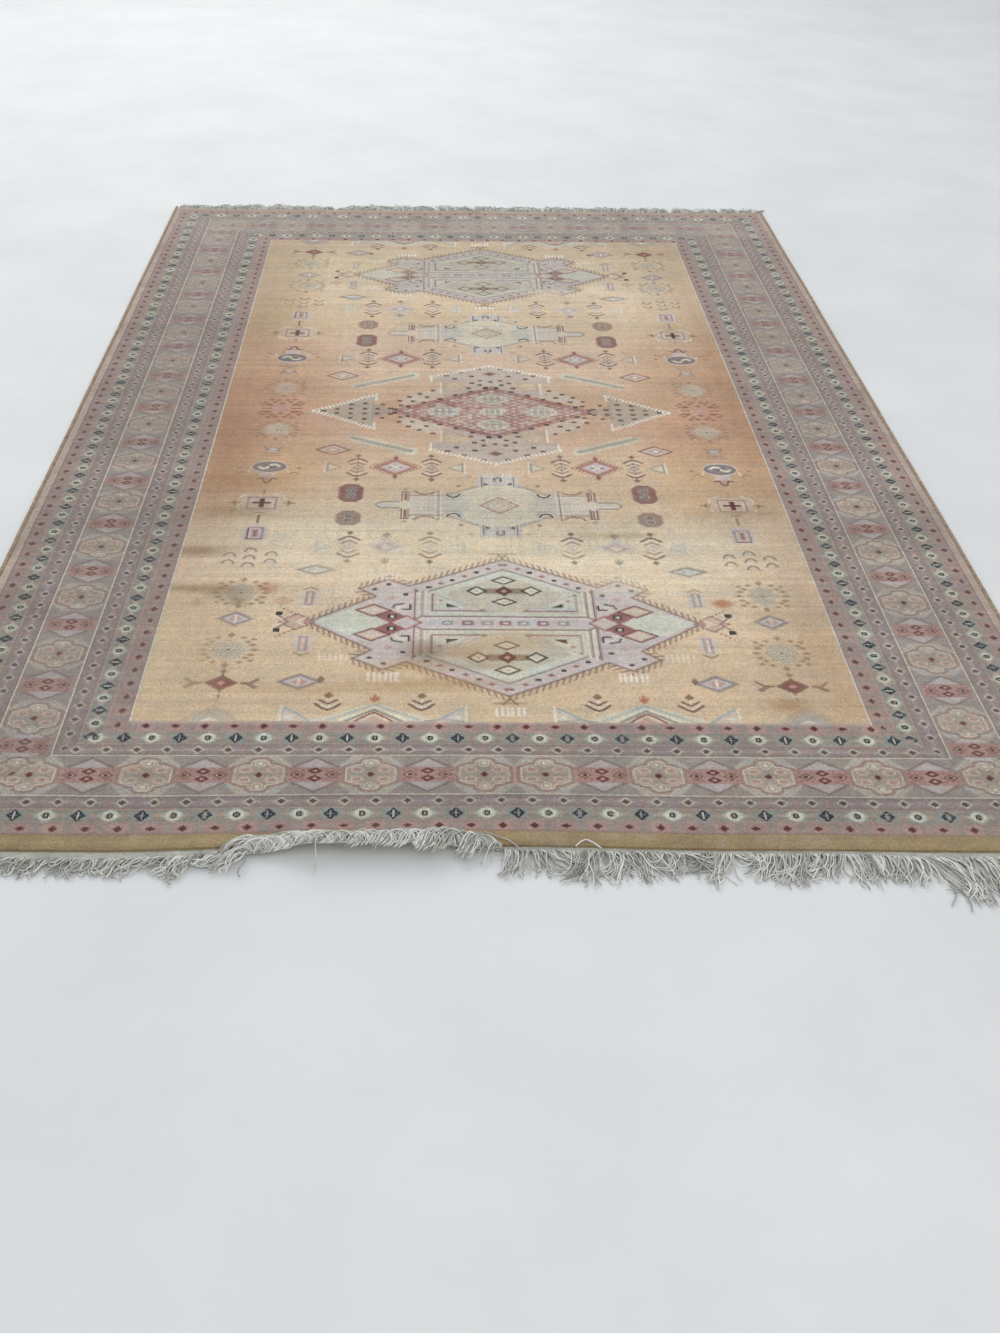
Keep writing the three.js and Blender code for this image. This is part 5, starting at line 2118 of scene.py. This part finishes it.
@dataclass
class Fringe:
    """The warps' loose ends past the last knots, in clumped and tangled tassels (mm)."""

    end: End
    sections: int = 6
    yarns: int = 185
    stops: int = 12
    tassel_pitch: float = 27.0
    length: float = 54.0
    radius: float = 1.15
    clearance: float = 1.25

    def build(self, finish: Material) -> list[Piece]:
        """Build all the sections of this end."""
        made = []
        for number in range(1, self.sections + 1):
            node = f"fringe_{self.end.word}_{number}"
            low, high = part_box(node)
            middle = (low.x + high.x) / 2 / MM
            half = RING_X[-1] / self.sections
            rng = np.random.default_rng(SEED + 500 + 10 * self.end.value + number)
            paths = self.yarn_paths(middle, half, rng)
            if self.end is End.FRONT:
                paths = np.concatenate([paths, self.strays(middle, half)])
            radii = np.repeat(rng.uniform(0.78, 1.2, len(paths))[:, None], self.stops, axis=1)
            radii *= self.radius * MM
            radii[:, -1] *= 0.5
            piece = strand_mesh(f"fringe_yarns_{self.end.word}_{number}", paths, radii)
            made.append(dress(piece, finish, "fringe_cotton", node))
            log.info("%s: %d yarns", piece.name, len(paths))
        return made

    def strays(self, middle: float, half: float) -> Array:
        """The few loose yarns that lie over the edge band or hang from the curl."""
        loose = (
            ((92, -1374, 9), (99, -1367, 11.5), (108, -1362, 12.3), (118, -1368, 11.5), (130, -1376, 8)),
            ((-274, -1352, 13), (-276, -1372, 16), (-279, -1392, 12), (-277, -1408, 6), (-281, -1424, 2)),
            ((-800, -1376, 8), (-791, -1364, 11), (-784, -1354, 11.4), (-781, -1345, 11),
             (-776, -1338, 11)),
            ((-40, -1350, 13), (-22, -1358, 12), (-6, -1364, 11.5), (6, -1372, 9), (14, -1384, 5)),
        )
        found = [line for line in loose if abs(line[0][0] - middle) < half]
        if not found:
            return np.zeros((0, self.stops, 3))
        marks = np.linspace(0, 1, self.stops)
        paths = []
        for line in found:
            stops = np.array(line, dtype=float)
            at = np.linspace(0, 1, len(stops))
            paths.append(np.stack([np.interp(marks, at, stops[:, i]) for i in range(3)], axis=1))
        return self.settle(np.array(paths))

    def settle(self, flat: Array) -> Array:
        """Lay yarns on the floor with none of them under it, in metres."""
        placed = LAY.place(flat.reshape(-1, 3)).reshape(flat.shape)
        placed[..., 2] = np.maximum(placed[..., 2], self.radius * MM * self.clearance)
        return placed

    def yarn_paths(self, middle: float, half: float, rng: np.random.Generator) -> Array:
        """Lay one section's yarns.

        Args:
            middle: the section's middle across the rug.
            half: half its width.
            rng: the source of the yarns' tangle.

        Returns:
            Yarns by stops by 3, in metres.
        """
        count = self.yarns
        share = np.linspace(0, 1, self.stops)[None, :]
        x0 = np.linspace(middle - half + 1, middle + half - 1, count) + rng.normal(size=count) * 0.8
        front = self.end is End.FRONT
        left = smooth((-300.0 - x0) / 80.0) if front else np.zeros(count)
        corner = smooth((x0 - 560.0) / 50.0) if front else np.zeros(count)
        tassel = np.floor((x0 + 1000) / self.tassel_pitch).astype(int)
        shared = np.random.default_rng(SEED + 77 + self.end.value).normal(size=(4, 90))[:, tassel]
        centre = (tassel + 0.5) * self.tassel_pitch - 1000

        lean = 0.04 + 0.25 * shared[0] + 0.17 * rng.normal(size=count) - 0.75 * left + 0.3 * corner
        bend = (1.15 * shared[1] + 0.7 * rng.normal(size=count)) * (1 - 0.6 * corner)
        length = self.length * (1 + 0.12 * shared[2] + 0.1 * rng.normal(size=count))
        length = length * (1 - 0.25 * left + 0.5 * corner)
        phase = rng.uniform(0, FULL_TURN, count)[:, None]
        cycles = rng.uniform(0.8, 2.2, count)[:, None]
        heading = lean[:, None] + bend[:, None] * share**1.3
        tangle = (0.42 + 0.5 * left)[:, None]
        heading = heading + tangle * np.sin(FULL_TURN * cycles * share + phase) * share
        step = (length / (self.stops - 1))[:, None]
        across = np.cumsum(np.sin(heading) * step, axis=1)
        out = np.cumsum(np.cos(heading) * step, axis=1)
        across -= across[:, :1]
        out -= out[:, :1]
        gather = (0.3 + 0.22 * np.tanh(shared[3]))[:, None] * smooth(share * 1.6)
        x = x0[:, None] + (centre - x0)[:, None] * gather + across
        root = RING_Y[-1] + woven_reach(self.end, x0)[:, None] + 1.0
        y = self.end.value * (root + np.maximum(out, 0.0))
        layer = rng.uniform(0.0, 1.0, count)[:, None] ** 1.4
        hump = smooth(share * 4.0) * (1 - 0.75 * share)
        z = 1.3 + 2.2 * (1 - share) ** 3 + 9.0 * layer * hump
        z = z + 1.3 * np.abs(np.sin(share * 5 + phase)) * share
        flat = np.stack([x, y, z], axis=-1)
        if front:
            flat = self.sweep(flat, x0, rng)
        return self.settle(flat)

    def sweep(self, flat: Array, x0: Array, rng: np.random.Generator) -> Array:
        """Lay the yarns of the curled part over its edge, swept aside in slanting bundles.

        Args:
            flat: the yarns as they would lie without the curl.
            x0: their roots across the rug.
            rng: the source of their tangle.

        Returns:
            The yarns, those on the curl turned back over the edge band.
        """
        count = len(x0)
        share = np.linspace(0, 1, self.stops)[None, :]
        on_curl = smooth((x0 + 385.0) / 24.0) * smooth((-2.0 - x0) / 20.0)
        bundle = np.floor((x0 + 1000) / 21.0).astype(int)
        turn = np.random.default_rng(SEED + 78).normal(size=(2, 110))[:, bundle]
        thick = np.exp(-(((x0 + 75.0) / 60.0) ** 2))
        matted = smooth((-200.0 - x0) / 60.0)
        thin = smooth((x0 + 70.0) / 50.0)
        back = (25 + 3 * turn[0] + 5 * thick - 13 * thin + rng.normal(size=count) * 1.6)[:, None]
        aside = (46 + 6 * turn[1] + 22 * matted + rng.normal(size=count) * 4)[:, None]
        fall = (10 + 7 * thick + 3 * turn[0] - 5 * matted + rng.normal(size=count) * 2.4)[:, None]
        layer = rng.uniform(0.0, 1.0, count)[:, None]
        wave = rng.uniform(0, FULL_TURN, count)[:, None]
        arch = np.sin(np.pi * np.clip(share * 1.12, 0, 1)) ** 0.8
        y = -(RING_Y[-1] + 7.0) + back * arch - fall * share**2.2
        x = x0[:, None] + 8 * share - aside * share**1.15 + 1.6 * np.sin(share * 7 + wave) * share
        over_pile = smooth((y + RING_Y[-1] + 6) / 8.0)
        heap = 1.0 + (4.5 + 3.0 * thick[:, None]) * layer
        z = 3.4 + 6.6 * over_pile + heap * (0.3 + 0.7 * arch)
        curled = np.stack([x, y, z], axis=-1)
        return flat + (curled - flat) * on_curl[:, None, None]


@dataclass
class Room:
    """The floor, the soft light and the camera."""

    eye: tuple[float, float, float] = (-0.0965, -2.5647, 1.3074)
    forward: Point = (0.0591, 0.9983)
    pitch: float = 38.66
    roll: float = 1.79
    lens: float = 33.0

    def place_camera(self) -> None:
        """Set the camera at a standing person's eye, looking down at the near end."""
        data = bpy.data.cameras.new("camera")
        data.lens = self.lens
        data.sensor_width = 36.0
        data.clip_end = 60.0
        camera = bpy.data.objects.new("camera", data)
        bpy.context.scene.collection.objects.link(camera)
        down = math.radians(self.pitch)
        level = math.cos(down)
        look = Vector((self.forward[0] * level, self.forward[1] * level, -math.sin(down)))
        look.normalize()
        right = look.cross(Vector((0, 0, 1))).normalized()
        up = right.cross(look)
        r = math.radians(self.roll)
        cam_x = right * math.cos(r) + up * math.sin(r)
        cam_y = up * math.cos(r) - right * math.sin(r)
        turn = Matrix((cam_x, cam_y, -look)).transposed().to_4x4()
        camera.matrix_world = Matrix.Translation(self.eye) @ turn
        bpy.context.scene.camera = camera

    def lay_floor(self) -> None:
        """Lay the plain floor."""
        clear_selection()
        bpy.ops.mesh.primitive_plane_add(size=16.0, location=(0, 2.0, 0))
        floor = bpy.context.object
        floor.name = "floor"
        floor.data.materials.append(FloorFinish().make())

    def light(self) -> None:
        """Light the room as under an open awning: a bright sky all round and a soft lamp."""
        world = bpy.data.worlds.new("studio")
        bpy.context.scene.world = world
        world.use_nodes = True
        back = world.node_tree.nodes["Background"]
        back.inputs["Color"].default_value = (0.93, 0.96, 1.0, 1.0)
        back.inputs["Strength"].default_value = 0.62
        for name, place, size, power in (
            ("sky_light", (-1.5, 4.6, 4.2), 5.0, 150.0),
            ("front_fill", (1.2, -3.6, 3.6), 4.0, 42.0),
        ):
            data = bpy.data.lights.new(name, "AREA")
            data.size = size
            data.energy = power
            data.color = (1.0, 0.985, 0.96)
            lamp = bpy.data.objects.new(name, data)
            bpy.context.scene.collection.objects.link(lamp)
            lamp.location = place
            aim = Vector((0, 0, 0)) - Vector(place)
            lamp.rotation_euler = aim.to_track_quat("-Z", "Y").to_euler()
        bpy.context.scene.view_settings.view_transform = "Standard"


def main() -> None:
    """Build the rug and its room."""
    logging.basicConfig(level=logging.INFO, format="%(message)s")
    room = Room()
    room.place_camera()
    room.lay_floor()
    room.light()

    foundation = Foundation().build()
    log.info("cotton foundation: %d faces", len(foundation.data.polygons))
    pile = Pile()
    pile.build_field()
    pile.build_borders()
    parts = list(pile.pieces)

    wrap = WrapFinish().make()
    bundle = CottonFinish("selvedge_warp_cotton", ribs=90.0).make()
    for side in Side:
        selvedge = Selvedge(side)
        parts.append(selvedge.build_wrap(wrap))
        parts.append(selvedge.build_core(bundle))
        log.info("selvedge %s done", side.word)

    weave = CottonFinish("flat_weave_cotton", "#D6D6CC", "#B0AFA4", ribs=95.0).make()
    knots = CottonFinish("locking_knot_cotton", "#DAD9D0", "#A9A89E", ribs=120.0).make()
    yarn = CottonFinish("fringe_yarn_cotton").make()
    for end in End:
        woven = WovenEnd(end)
        parts.append(woven.build_strip(weave))
        parts.append(woven.build_knots(knots))
        parts += Fringe(end).build(yarn)
        log.info("%s end done", end.word)


if __name__ == "__main__":
    main()
